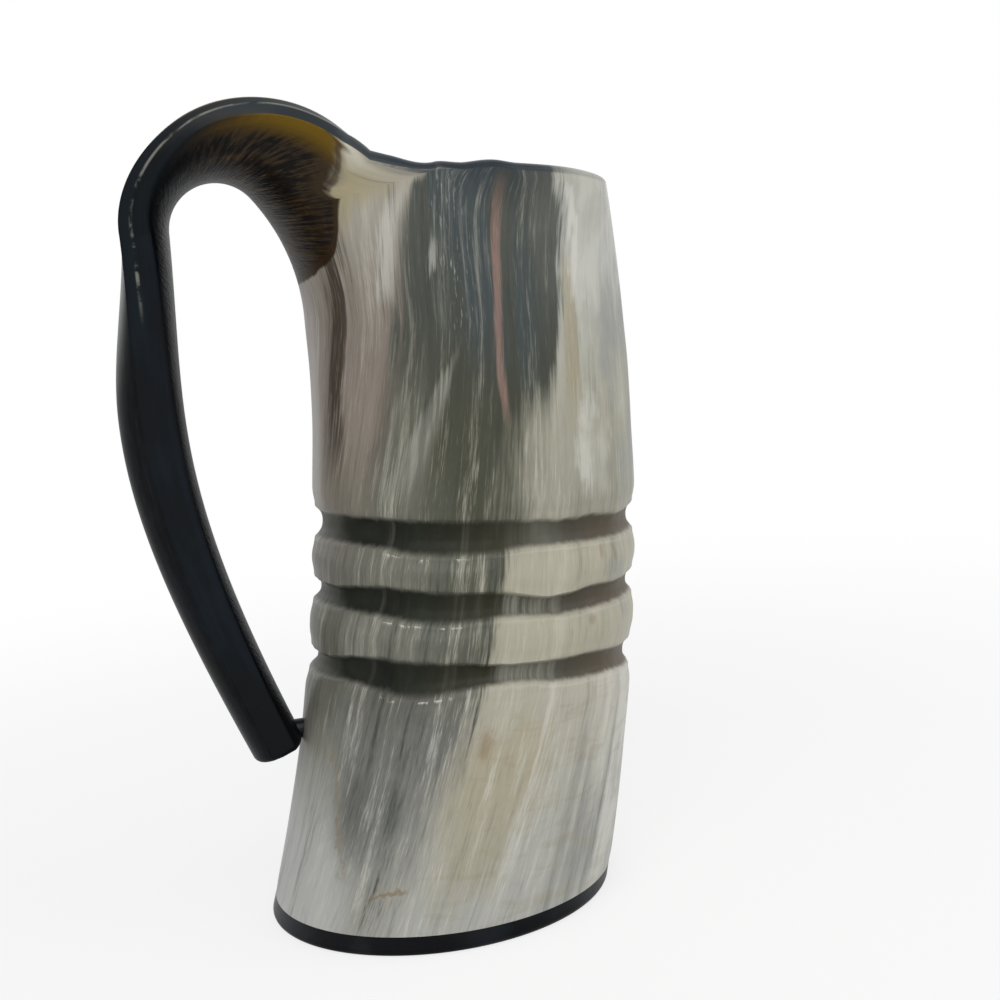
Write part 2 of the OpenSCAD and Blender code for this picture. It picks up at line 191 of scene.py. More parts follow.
def ease(t):
    """0 to 1 with level ends: 3c^2 - 2c^3 of t held between 0 and 1."""
    c = np.clip(t, 0, 1)
    return c * c * (3 - 2 * c)


def cosd(a):
    """Cosine of degrees."""
    return np.cos(np.radians(a))


def sind(a):
    """Sine of degrees."""
    return np.sin(np.radians(a))


def unit(v):
    """Vectors cut or stretched to length 1."""
    return v / np.linalg.norm(v, axis=-1, keepdims=True)


def vec(x, y, z):
    """One array of points from three arrays of coordinates."""
    return np.stack(np.broadcast_arrays(x, y, z), -1).astype(float)


def smooth(x, y, t):
    """Hermite curve through values y at places x, whose slopes are those between the neighbours."""
    x, y, t = np.asarray(x, float), np.asarray(y, float), np.asarray(t, float)
    slope = np.empty_like(y)
    slope[0], slope[-1] = (y[1] - y[0]) / (x[1] - x[0]), (y[-1] - y[-2]) / (x[-1] - x[-2])
    slope[1:-1] = (y[2:] - y[:-2]) / (x[2:] - x[:-2])
    i = np.clip(np.searchsorted(x, t, side="right") - 1, 0, len(x) - 2)
    h = x[i + 1] - x[i]
    s = np.clip((t - x[i]) / h, 0, 1)
    return (
        y[i] * (2 * s**3 - 3 * s**2 + 1)
        + y[i + 1] * (3 * s**2 - 2 * s**3)
        + slope[i] * h * (s**3 - 2 * s**2 + s)
        + slope[i + 1] * h * (s**3 - s**2)
    )


def around(a):
    """The same angles, brought to between -180 and 180 degrees."""
    return (np.asarray(a) + 180) % 360 - 180


def round_the_cup(places, values, a):
    """The same curve closed round the cup: the places are angles within one turn."""
    x = np.concatenate([np.asarray(places) + turn for turn in (-360, 0, 360)])
    return smooth(x, np.tile(values, 3), around(a))


def ripple(t, seed, waves, low, high):
    """A wavering line of mean 0 and about 1 high: a sum of sines round the cup with whole wave counts."""
    random = np.random.default_rng(seed)
    counts = random.integers(low, high + 1, waves)
    phases = random.uniform(0, 2 * np.pi, waves)
    total = sum(np.sin(n * np.radians(t) + p) for n, p in zip(counts, phases))
    return total * math.sqrt(2 / waves)


# ---------------------------------------------------------------- the horn's shape

# Where a cut edge's ridge lies, as a share of the way from the outer to the inner face
RIDGE = 7 / 12
# Angles are in degrees from the handle's side of the cup. The near side has negative ones.
# Each groove's lips have a height at each of these places, which start on the side away from the handle and
# go over the near side to the handle and on round the far side.
LIP_PLACES = [-175, -155, -140, -125, -110, -100, -90, -78, -68, -58, -46, -34, -20, 5, 50, 95, 140]
UPPER_LIPS = [
    [85.4, 84.8, 84.8, 85.8, 85.9, 86.5, 87.0, 87.3, 87.6, 87.8, 88.0, 87.9, 87.9, 87.5, 87.3, 87.4, 86.3],
    [70.4, 70.2, 70.2, 70.9, 70.3, 71.0, 72.5, 73.0, 73.4, 73.9, 74.5, 73.9, 73.2, 73.0, 72.8, 73.5, 72.0],
    [55.4, 55.0, 55.8, 56.8, 57.2, 57.5, 57.9, 58.8, 59.3, 59.8, 60.2, 59.8, 58.8, 58.6, 58.6, 59.4, 57.5],
]
LOWER_LIPS = [
    [78.6, 78.6, 79.1, 79.6, 80.1, 80.3, 80.1, 79.8, 79.8, 80.1, 81.2, 81.4, 81.4, 80.7, 80.3, 80.8, 79.6],
    [64.4, 64.8, 65.2, 65.5, 65.7, 66.4, 66.8, 66.4, 66.2, 66.8, 67.6, 68.1, 68.3, 67.7, 66.6, 67.2, 65.8],
    [48.0, 48.6, 50.2, 51.0, 51.9, 53.2, 53.5, 52.9, 51.9, 51.6, 52.9, 54.0, 53.8, 53.3, 52.2, 52.6, 50.4],
]


class Horn:
    """The horn's surfaces. A point of the wall is a share u of the height, an angle a from the handle's
    side and a depth d under the surface. A point of the tongue is a place w, 0 to 1 over the root bend,
    1 to 2 over the arch and 2 to 3 down the grip, and a share q across its width."""

    # Half angles of the tongue at its root and its neck, and where its pull on the wall ends
    root_angle, neck_angle, fade_angle = 85, 67, 106
    # Places along the tongue: its root at the rim, the neck, where the cut edge has become flat, where it
    # faces sideways, the top of the arch, the seam to the handle's own piece, and the narrow grip
    root_end, neck, flat_edge, side_on, crown, seam, grip = 0.8, 0.9, 1.1, 1.35, 1.5, 1.62, 2.4

    def __init__(self, s):
        self.s = s
        s.root_z = s.cup_height - s.root_drop
        self.foot = s.plate_thick / s.cup_height
        self.root = s.root_z / s.cup_height
        self.seal_top = s.plate_thick + s.plug_height + s.fillet_leg
        low, point = self.wall_at(self.root - self.foot, 0, 0), self.wall_at(self.root, 0, 0)
        self.start = point[[0, 2]]
        self.heading0 = math.degrees(math.atan2(point[2] - low[2], point[0] - low[0]))
        self.heading1 = self.heading0 + s.root_turn
        self.heading2 = self.heading1 + s.arch_turn
        self.arch_start = self.bend(self.start, s.root_radius, self.heading0, self.heading1)
        fall = self.bend(self.arch_start, s.arch_radius, self.heading1, self.heading2)
        tip = self.wall_at(s.tip_z / s.cup_height, 0, 0)[[0, 2]] - [s.tip_gap, 0]
        pull = np.linalg.norm(tip - fall) / 3
        end_pull = pull * 1.7
        leave = np.array([cosd(self.heading2), sind(self.heading2)])
        arrive = np.array([sind(s.grip_slope), -cosd(s.grip_slope)])
        self.curve = [fall, fall + pull * leave, tip - end_pull * arrive, tip]
        # How many degrees the sections turn behind the middle line, at places along the tongue
        start_lag = self.heading0 - 90 + float(self.tilt(self.root))
        self.lag = ([0, self.root_end, 1, 1.25, self.crown, 3], [start_lag, 18.2, 11, 7, 0, 0])
        self.ring_x = float(self.half_x(self.root))
        self.ring_y = self.ring_x * s.oval_share
        places = np.linspace(0, 3, 3001)
        steps = np.linalg.norm(np.diff(self.crest(places), axis=0), axis=1)
        self.arc = (places, np.concatenate([[0], np.cumsum(steps)]))

    # The wall

    def axis_x(self, u):
        """Centre line: a straight lean plus a parabola's bow."""
        return self.s.lean * u + self.s.bow * 4 * u * (1 - u)

    def half_x(self, u):
        """Half width: a straight taper less a parabola's waist."""
        s = self.s
        return s.foot_half + (s.rim_half - s.foot_half) * u - s.waist_in * 4 * u * (1 - u)

    def tilt(self, u):
        """Slope of the section: from level at the foot to the rim's slope, as a power of the height."""
        return self.s.rim_slope * (np.maximum(0, u - self.foot) / (1 - self.foot)) ** 1.6

    def wall_at(self, u, a, d):
        """Centre line plus an oval whose x axis is turned down by the tilt."""
        x = -(self.half_x(u) - d) * cosd(a)
        y = (self.half_x(u) * self.s.oval_share - d) * sind(a)
        return vec(self.axis_x(u) + x * cosd(self.tilt(u)), y, self.s.cup_height * u - x * sind(self.tilt(u)))

    def grown_at(self, z, a, d):
        """The same point in the horn before it was bent: a straight tube round Z."""
        u = z / self.s.cup_height
        r = self.half_x(u)
        return vec(-(r - d) * cosd(a), (r - d) * sind(a), z)

    # The tongue

    @staticmethod
    def bend(p, r, h0, h):
        """End of an arc from p with radius r that turns left from heading h0 to h."""
        return np.stack([p[0] + r * (sind(h) - sind(h0)), p[1] - r * (cosd(h) - cosd(h0))], -1)

    def crest(self, w):
        """Middle line of the tongue's outer face: an arc, a tighter arc, then a Bezier curve."""
        s, w = self.s, np.asarray(w, float)
        t = np.clip(w - 2, 0, 1)[..., None]
        c = self.curve
        fall = c[0] * (1 - t) ** 3 + 3 * c[1] * t * (1 - t) ** 2 + 3 * c[2] * t * t * (1 - t) + c[3] * t**3
        first = self.bend(self.start, s.root_radius, self.heading0, self.heading0 + s.root_turn * w)
        second = self.bend(self.arch_start, s.arch_radius, self.heading1, self.heading1 + s.arch_turn * (w - 1))
        w = w[..., None]
        return np.where(w < 1, first, np.where(w < 2, second, fall))

    def way(self, w):
        """Heading of the middle line in degrees."""
        w = np.asarray(w, float)
        t = np.clip(w - 2, 0, 1)[..., None]
        c = self.curve
        d = (c[1] - c[0]) * (1 - t) ** 2 + 2 * (c[2] - c[1]) * t * (1 - t) + (c[3] - c[2]) * t * t
        fall = np.degrees(np.arctan2(d[..., 1], d[..., 0])) % 360
        first, second = self.heading0 + self.s.root_turn * w, self.heading1 + self.s.arch_turn * (w - 1)
        return np.where(w < 1, first, np.where(w < 2, second, fall))

    def axes(self, w):
        """Ways along the tongue and across its thickness, in the handle's plane."""
        h = self.way(w) - smooth(*self.lag, w)
        return vec(cosd(h), 0, sind(h)), vec(sind(h), 0, -cosd(h))

    def over(self, w, places, values, before):
        """A size of the section: its curve past the neck, and its rule before it."""
        return np.where(w > self.neck, smooth(places, values, w), before)

    def section(self, w):
        """Half angle, half width, hollow, thickness, side and cut angle of the section at w. The half angle
        narrows from the root's to the neck's as a power of the way between them."""
        s = self.s
        k = np.minimum(1, np.maximum(0, (w - self.root_end) / (self.neck - self.root_end)) ** 0.7)
        e = self.root_angle + (self.neck_angle - self.root_angle) * k
        at = [self.neck, self.crown, 2, self.grip, 3]
        cut_at = [self.neck, 1.2, self.crown, 2, self.grip, 3]
        half_before, dish_before = self.ring_y * sind(e), self.ring_x * (1 - cosd(e))
        halves = [self.ring_y * sind(self.neck_angle), s.arch_half, s.shoulder_half, s.grip_half, s.grip_half]
        neck_dish = self.ring_x * (1 - cosd(self.neck_angle))
        dishes = [neck_dish, s.arch_dish, s.shoulder_dish, s.grip_dish, s.grip_dish]
        thicks = [s.wall, s.arch_thick, s.shoulder_thick, s.grip_thick, s.tip_thick]
        sides = [s.wall, s.wall, s.shoulder_side, s.grip_side, s.tip_side]
        return SimpleNamespace(
            e=e,
            half=self.over(w, at, halves, half_before),
            dish=self.over(w, at, dishes, dish_before),
            thick=self.over(w, at, thicks, s.wall),
            side=self.over(w, at, sides, s.wall),
            cut=self.over(w, cut_at, [self.neck_angle, 35, 13, 8, 4, 4], e),
        )

    def bow_share(self, q, e):
        """How far the arc of half angle e has dropped at share q of its width, 0 to 1."""
        return (1 - cosd(q * e)) / (1 - cosd(e))

    def tongue_at(self, w, q, under=False):
        """Crest plus an arc across the width: the outer face, or the inner face that lies under it."""
        n = self.section(w)
        c = self.crest(w)
        across = self.axes(w)[1]
        reach, drop = n.half, n.dish * self.bow_share(q, n.e)
        if under:
            rise = n.dish + n.side * cosd(n.cut) - n.thick
            reach, drop = n.half - n.side * sind(n.cut), n.thick + rise * self.bow_share(q, n.e)
        return vec(c[..., 0], 0, c[..., 1]) + across * drop[..., None] + vec(0, reach * sind(q * n.e) / sind(n.e), 0)

    def edge_at(self, w, sign, t):
        """Cut edge between the faces, t from 0 outside to 1 inside: a half ellipse at the rim that turns
        into two flat facets that meet in a low ridge past the middle of its height. Where the rim passes
        into it, a short swelling of 0.7 mm rounds off the corner."""
        outer, inner = self.tongue_at(w, sign * 1.0), self.tongue_at(w, sign * 1.0, under=True)
        along, across = self.axes(w)
        n = self.section(w)
        turn = 90 * ease((w - self.root_end) / (self.side_on - self.root_end))
        side = across * sind(n.cut)[..., None] + vec(0, sign * cosd(n.cut), 0)
        way = unit(along * cosd(turn)[..., None] + side * sind(turn)[..., None])
        past = w - self.root_end
        flat = ease(past / (self.flat_edge - self.root_end))
        roof = np.minimum(t / RIDGE, (1 - t) / (1 - RIDGE))
        corner = 0.7 * ease(past / 0.06) * (1 - ease((past - 0.07) / 0.25)) * sind(180 * t)
        swell = (1 - flat) * self.s.rim_round * sind(180 * t) + flat * self.s.edge_round * roof + corner
        share = (1 - flat) * (1 - cosd(180 * t)) / 2 + flat * t
        return outer + (inner - outer) * share[..., None] + way * swell[..., None]

    def pull(self, a):
        """Share of the tongue's bend on the wall at angle a: 1 under the tongue, easing to 0 beside it."""
        return 1 - ease((np.abs(around(a)) - self.root_angle) / (self.fade_angle - self.root_angle))

    def upper_at(self, v, a, d):
        """Wall between the root's height and the rim, v from 0 to 1: straight up, mixed with the bend. Its
        height is 3 percent less just past the tongue's corner, and 3.5 percent less away from the handle."""
        off = np.abs(around(a))
        worn = 1 - 0.035 * ease((off - 118) / 55)
        v = v * (1 - 0.03 * ease((off - 85.5) / 7) * (1 - ease((off - 92) / 9)))
        still = self.wall_at(self.root + (1 - self.root) * v * worn, a, d)
        w = self.root_end * v
        c = self.crest(w)
        bent = vec(c[..., 0], 0, c[..., 1]) + self.axes(w)[1] * (self.ring_x - (self.ring_x - d) * cosd(a))[..., None]
        bent = bent + vec(0, (self.ring_y - d) * sind(a), 0)
        return still + (bent - still) * self.pull(a)[..., None]

    def rim_way(self, a):
        """Way that the rim faces."""
        t = self.tilt(1.0)
        p = self.pull(a)[..., None]
        return unit(vec(sind(t), 0, cosd(t)) * (1 - p) + self.axes(np.array(self.root_end))[0] * p)

    def grown_z(self, w):
        """Length along the horn at place w: the root's height plus the way along the crest."""
        return self.s.root_z + np.interp(w, *self.arc)

    def lips(self, g, a):
        """Heights of a groove's lower and upper lip at angle a, with the waver of a hand tool."""
        chips = 0.05 + 0.12 * ease((-a - 82) / 12) * ease((150 + a) / 20)
        low = round_the_cup(LIP_PLACES, LOWER_LIPS[g], a) + chips * ripple(a, 11 + g, 9, 30, 90)
        high = round_the_cup(LIP_PLACES, UPPER_LIPS[g], a) + 0.05 * ripple(a, 31 + g, 7, 12, 50)
        return low, high


# ---------------------------------------------------------------- meshes

# Faces that meet at more than this angle have a sharp edge between them
SHARP = math.radians(50)


class Skin:
    """Points with named values and the faces between them, gathered as whole arrays."""

    def __init__(self, names):
        self.names, self.points, self.values, self.faces, self.count = names, [], [], [], 0

    def add(self, points, **values):
        """Adds points and returns their numbers in the same layout. A value that isn't given is 0."""
        shape = points.shape[:-1]
        self.points.append(points.reshape(-1, 3))
        row = {}
        for name, width in self.names.items():
            full = shape + ((width,) if width > 1 else ())
            row[name] = np.broadcast_to(np.asarray(values.get(name, 0.0), float), full).reshape(-1, width)
        self.values.append(row)
        ids = np.arange(self.count, self.count + int(np.prod(shape))).reshape(shape)
        self.count += ids.size
        return ids

    def grid(self, ids, flip=False):
        """Four-sided faces between neighbours of a grid of point numbers."""
        f = np.stack([ids[:-1, :-1], ids[:-1, 1:], ids[1:, 1:], ids[1:, :-1]], -1).reshape(-1, 4)
        self.faces.append(f[:, ::-1] if flip else f)

    def fan(self, ring, flip=False):
        """One flat face on a ring of point numbers."""
        self.faces.append(np.asarray(ring)[None, ::-1] if flip else np.asarray(ring)[None])

    def piece(self, name, finish):
        """The mesh object, in metres, smooth and with its values as attributes on its points."""
        mesh = bpy.data.meshes.new(name)
        points = np.concatenate(self.points) * MM
        counts = np.concatenate([np.full(len(f), f.shape[1]) for f in self.faces])
        corners = np.concatenate([f.ravel() for f in self.faces]).astype(np.int32)
        starts = np.concatenate([[0], np.cumsum(counts)[:-1]]).astype(np.int32)
        mesh.vertices.add(len(points))
        mesh.vertices.foreach_set("co", points.astype(np.float32).ravel())
        mesh.loops.add(len(corners))
        mesh.loops.foreach_set("vertex_index", corners)
        mesh.polygons.add(len(starts))
        mesh.polygons.foreach_set("loop_start", starts)
        mesh.update(calc_edges=True)
        mesh.validate()
        mesh.polygons.foreach_set("use_smooth", np.ones(len(mesh.polygons), bool))
        mesh.set_sharp_from_angle(angle=SHARP)
        for key, width in self.names.items():
            data = np.concatenate([row[key] for row in self.values]).astype(np.float32)
            layer = mesh.attributes.new(key, "FLOAT_VECTOR" if width == 3 else "FLOAT", "POINT")
            layer.data.foreach_set("vector" if width == 3 else "value", data.ravel())
        mesh.materials.append(finish)
        made = bpy.data.objects.new(name, mesh)
        bpy.context.scene.collection.objects.link(made)
        return made


# ---------------------------------------------------------------- finishes


class Link:
    """A socket of a finish. Sums on it add Math nodes."""

    def __init__(self, finish, socket):
        self.finish, self.socket = finish, socket

    def sum(self, operation, *others):
        """A Math node on this value and the others."""
        values = dict(enumerate((self, *others)))
        return self.finish.add("Math", {"operation": operation}, values)

    def __add__(self, other):
        return self.sum("ADD", other)

    __radd__ = __add__

    def __mul__(self, other):
        return self.sum("MULTIPLY", other)

    __rmul__ = __mul__

    def __sub__(self, other):
        return self.sum("SUBTRACT", other)

    def __rsub__(self, other):
        return (self * -1.0) + other

    def __truediv__(self, other):
        return self.sum("DIVIDE", other)

    def __rtruediv__(self, other):
        return self.finish.add("Math", {"operation": "DIVIDE"}, {0: other, 1: self})

    def __pow__(self, other):
        return self.sum("POWER", other)

    def __neg__(self):
        return self * -1.0


class Finish:
    """The nodes of a material, or of the world, that is being made."""

    def __init__(self, owner):
        self.owner, self.colour = owner, None
        owner.use_nodes = True
        self.tree = owner.node_tree
        self.tree.nodes.clear()

    def feed(self, socket, value):
        """Links a value to a socket, or sets it there."""
        if isinstance(value, Link):
            self.tree.links.new(value.socket, socket)
        elif socket.type == "RGBA" and len(value) == 3:
            socket.default_value = (*value, 1)
        else:
            socket.default_value = value

    def add(self, kind, settings=None, inputs=None, out=0):
        """Adds a node of this type, makes its settings, feeds its sockets and returns one output."""
        node = self.tree.nodes.new("ShaderNode" + kind)
        for key, value in (settings or {}).items():
            if key == "stops":
                ramp = node.color_ramp
                while len(ramp.elements) < len(value):
                    ramp.elements.new(0.5)
                for element, (place, code) in zip(ramp.elements, value):
                    element.position, element.color = place, (*code, 1)
            elif key == "points":
                points = node.mapping.curves[0].points
                while len(points) < len(value):
                    points.new(0.5, 0.5)
                for point, place in zip(points, value):
                    point.location = place
                node.mapping.update()
            else:
                setattr(node, key, value)
        for key, value in (inputs or {}).items():
            self.feed(node.inputs[key], value)
        return Link(self, node.outputs[out]) if len(node.outputs) else None

    def value(self, name):
        """A number that the mesh carries."""
        return self.add("Attribute", {"attribute_name": name}, out="Fac")

    def vector(self, name):
        """A vector that the mesh carries."""
        return self.add("Attribute", {"attribute_name": name}, out="Vector")

    def parts(self, vector):
        """The three numbers of a vector."""
        return [self.add("SeparateXYZ", inputs={0: vector}, out=i) for i in range(3)]

    def join(self, x, y, z):
        """A vector from three numbers."""
        return self.add("CombineXYZ", inputs={0: x, 1: y, 2: z})

    def step(self, value, low, high):
        """0 below low, 1 above high, smooth between; the other way round where low is above high."""
        inputs = {"Value": value, "From Min": low, "From Max": high}
        if not isinstance(low, Link) and not isinstance(high, Link) and low > high:
            inputs = {"Value": value, "From Min": high, "From Max": low, "To Min": 1.0, "To Max": 0.0}
        return self.add("MapRange", {"interpolation_type": "SMOOTHSTEP"}, inputs)

    def mix(self, a, b, share):
        """Colour b over colour a by a share."""
        return self.add("Mix", {"data_type": "RGBA", "clamp_factor": True}, {"Factor": share, 6: a, 7: b}, out=2)

    def lay(self, colour, share):
        """Lays a colour by a share over the material's colour so far."""
        self.colour = self.mix(self.colour, colour, share)

    def line(self, value, points, reach, height):
        """Height of a smooth line through points of place and height, for places from 0 to reach."""
        scaled = [(x / reach, y / height) for x, y in points]
        return self.add("FloatCurve", {"points": scaled}, {"Value": value / reach}) * height

    def ramp(self, value, stops, reach):
        """Colour along a value from 0 to reach, from pairs of place and six hex digits."""
        scaled = [(x / reach, linear(code)) for x, code in stops]
        return self.add("ValToRGB", {"stops": scaled}, {0: value / reach}, out="Color")

    def spot(self, a, b, near_a, near_b):
        """1 at a place and 0 a reach away from it along two directions, each given as (place, reach)."""
        u, v = (a - near_a[0]) / near_a[1], (b - near_b[0]) / near_b[1]
        return self.step((u * u + v * v) ** 0.5, 1.0, 0.2)

    def streak(self, across, half, value, low, high, soft):
        """1 on a line where across is 0, fading over half to both sides, between two places along it."""
        body = self.step(across.sum("ABSOLUTE"), half, half * 0.3)
        return body * self.step(value, low - soft, low + soft) * self.step(value, high + soft, high - soft)

    def noise(self, vector, scale, detail, rough=0.5, bend=0.0):
        """Soft noise about 0.5."""
        inputs = {"Vector": vector, "Scale": scale, "Detail": detail, "Roughness": rough, "Distortion": bend}
        return self.add("TexNoise", inputs=inputs, out="Fac")

    def stretch(self, vector, x, y, z):
        """A vector scaled by three numbers."""
        return self.add("VectorMath", {"operation": "MULTIPLY"}, {0: vector, 1: (x, y, z)})

    def bump(self, height, distance, strength):
        """A Bump node for a height in units of distance."""
        return self.add("Bump", inputs={"Height": height, "Distance": distance, "Strength": strength})

    def end(self, **sockets):
        """The Principled shader with these sockets, as the material's surface."""
        names = {key.replace("_", " ").title().replace("Ior", "IOR"): value for key, value in sockets.items()}
        self.add("OutputMaterial", inputs={"Surface": self.add("BsdfPrincipled", inputs=names)})
        return self.owner


def colours():
    """The named colours as linear red, green and blue."""
    group = bpy.context.scene.horn_colours
    return SimpleNamespace(**{name: tuple(getattr(group, name)) for name in HornColours.__annotations__})


# How far the tables below reach, up the horn in millimetres and round it in degrees
TOP, HALF_TURN = 160, 180
# Borders between the zones of the wall: pairs of height and angle from the handle
LEFT_BORDER = [(0, 42), (14, 44), (20, 39), (30, 34), (42, 31), (52, 28), (62, 29), (75, 36), (90, 42), (100, 46.5)]
LEFT_BORDER += [(110, 51), (120, 54), (130, 58), (135, 61), (140, 65), (144, 70), (147, 77), (149, 86), (160, 87)]
RIGHT_BORDER = [(0, 60), (20, 66), (30, 71), (40, 78), (50, 82), (63, 84), (77, 88), (90, 93), (98, 95), (104, 98)]
RIGHT_BORDER += [(109, 103), (115, 108), (122, 112), (135, 116.5), (150, 119), (160, 120)]
# Where the bend's brown starts: pairs of angle from the handle and place along the horn
BEND_BORDER = [(0, 133), (28, 136), (38, 138.9), (43, 142), (48.5, 146.5), (53, 148.7), (58, 149.6), (66, 150.3)]
BEND_BORDER += [(74, 151.5), (80, 152.8), (85, 154.1), (92, 175), (180, 178)]
# How far the fibres sweep round under the bend: pairs of angle and sweep, and the most that the table holds
SWEEP = [(0, 0), (25, 0), (45, 10), (58, 14), (72, 14), (79, 11.5), (85, 8.7), (92, 6), (102, 4.7), (114, 5.4)]
SWEEP += [(130, 7), (160, 4), (180, 0)]
SWEEP_TOP = 20
# Colours up the wall in each zone, and round the cup in the grooves
HANDLE_SIDE = [(0, "B0B0AD"), (20, "A8A8A5"), (38, "86867D"), (48, "6A6A61"), (62, "68675E"), (78, "716F67")]
HANDLE_SIDE += [(92, "7C766B"), (106, "857C71"), (120, "827970"), (132, "857D73"), (143, "9C978C"), (156, "A5A092")]
MIDDLE = [(0, "9A9A94"), (12, "8E8E86"), (25, "747571"), (45, "6C6C67"), (53, "5B5C53"), (78, "57584C")]
MIDDLE += [(90, "4A4B3E"), (105, "414235"), (116, "42443B"), (130, "484B45"), (145, "4F524B"), (156, "424540")]
FAR_SIDE = [(0, "A5A5A0"), (20, "A3A39C"), (40, "A7A498"), (52, "A4A091"), (62, "A39F8E"), (76, "A5A190")]
FAR_SIDE += [(88, "908E80"), (105, "9A9889"), (120, "A2A196"), (140, "A9AAA4"), (156, "9E9E94")]
GROOVE_BOTTOM = [(0, "56564F"), (18, "3E403A"), (27, "1C2019"), (47, "0A0D07"), (60, "1A1D14"), (72, "24251A")]
GROOVE_BOTTOM += [(86, "2D2C20"), (94, "46453C"), (103, "56554C"), (113, "403E35"), (132, "4A4236"), (152, "585044")]
# Noises that run along the fibres: name, stretch along them, scale, detail and roughness
NOISES = [("broad", 0.06, 0.16, 2, 0.5), ("strand", 0.06, 0.5, 3, 0.55), ("fine", 0.05, 1.6, 3, 0.65)]
NOISES += [("hair", 0.05, 5, 2, 0.7), ("cloud", 0.5, 0.1, 3, 0.6)]
# Clouds away from the handle: colour, share, and place and reach round the cup and up it
CLOUDS = [("horn_cloud", 0.7, (143, 17), (124, 14)), ("horn_cloud", 0.7, (156, 12), (98, 9))]
CLOUDS += [("horn_white", 0.55, (123, 7), (99, 13)), ("horn_white", 0.55, (124, 5), (143, 14))]
CLOUDS += [("horn_cloud", 0.5, (132, 15), (13, 10))]
# Stains: how they wander, how they lean, and place and reach round the cup and up it
STAINS = [(4, 0, (86.5, 3.5), (42, 5)), (0, 0, (128.5, 1.5), (77.5, 2.6)), (0, 0.5, (174.5, 1.6), (76.5, 4))]
STAINS += [(0, 0, (124.5, 3), (63.5, 1.6))]


def horn_places(f):
    """Where a point lies in the unbent horn, how the fibres turn there, and the noises along them."""
    m = SimpleNamespace(grown=f.vector("grown"), sweep=0)
    for name in ("cut", "under", "edge", "inside"):
        setattr(m, name, f.value(name))
    gx, gy, m.gz = f.parts(m.grown)
    # Angle from the handle, more than 0 on the near side
    psi = (-gy).sum("ARCTAN2", -gx) * DEGREE
    m.near = f.step(psi, -3, 3)
    m.side = psi.sum("ABSOLUTE")
    # Turn of the fibres round the cup: their climb, their sweep under the bend and their lean at the foot
    rise = m.gz - 90
    climb = rise.sum("MAXIMUM", 0) + rise.sum("MINIMUM", 0) * 0.6
    slant = 0.42 - 0.36 * f.step(m.side, 30, 118)
    share = ((m.gz - 127) / 20).sum("MAXIMUM", 0).sum("MINIMUM", 1.35)
    for _ in range(3):
        m.sweep = f.line(m.side - m.sweep, SWEEP, HALF_TURN, SWEEP_TOP) * share * share
    foot = (m.gz - 52).sum("MINIMUM", 0) * f.step(m.side, 60, 100) * f.step(m.side, 178, 145)
    turn = climb.sum("MINIMUM", 36) * slant + m.sweep + foot * 0.24
    m.turned = f.add("VectorRotate", {"rotation_type": "Z_AXIS"}, {"Vector": m.grown, "Angle": turn / -DEGREE})
    m.way = m.side + (1 - m.near) * (m.side * 0.2 + turn * 1.6 * f.step(m.side, 4, 45))
    for name, along, scale, detail, rough in NOISES:
        setattr(m, name, f.noise(f.stretch(m.turned, 1, 1, along), scale, detail, rough) - 0.5)
    m.ragged = f.noise(m.grown, 0.35, 3, 0.7) - 0.5
    m.worn = f.noise(m.grown, 0.3, 4, 0.6)
    m.frayed = m.way + m.strand * 16 + m.fine * 9
    m.grain = m.broad * 0.8 + m.strand * 0.9 + m.fine * 0.9 + m.hair * 0.7
    return m


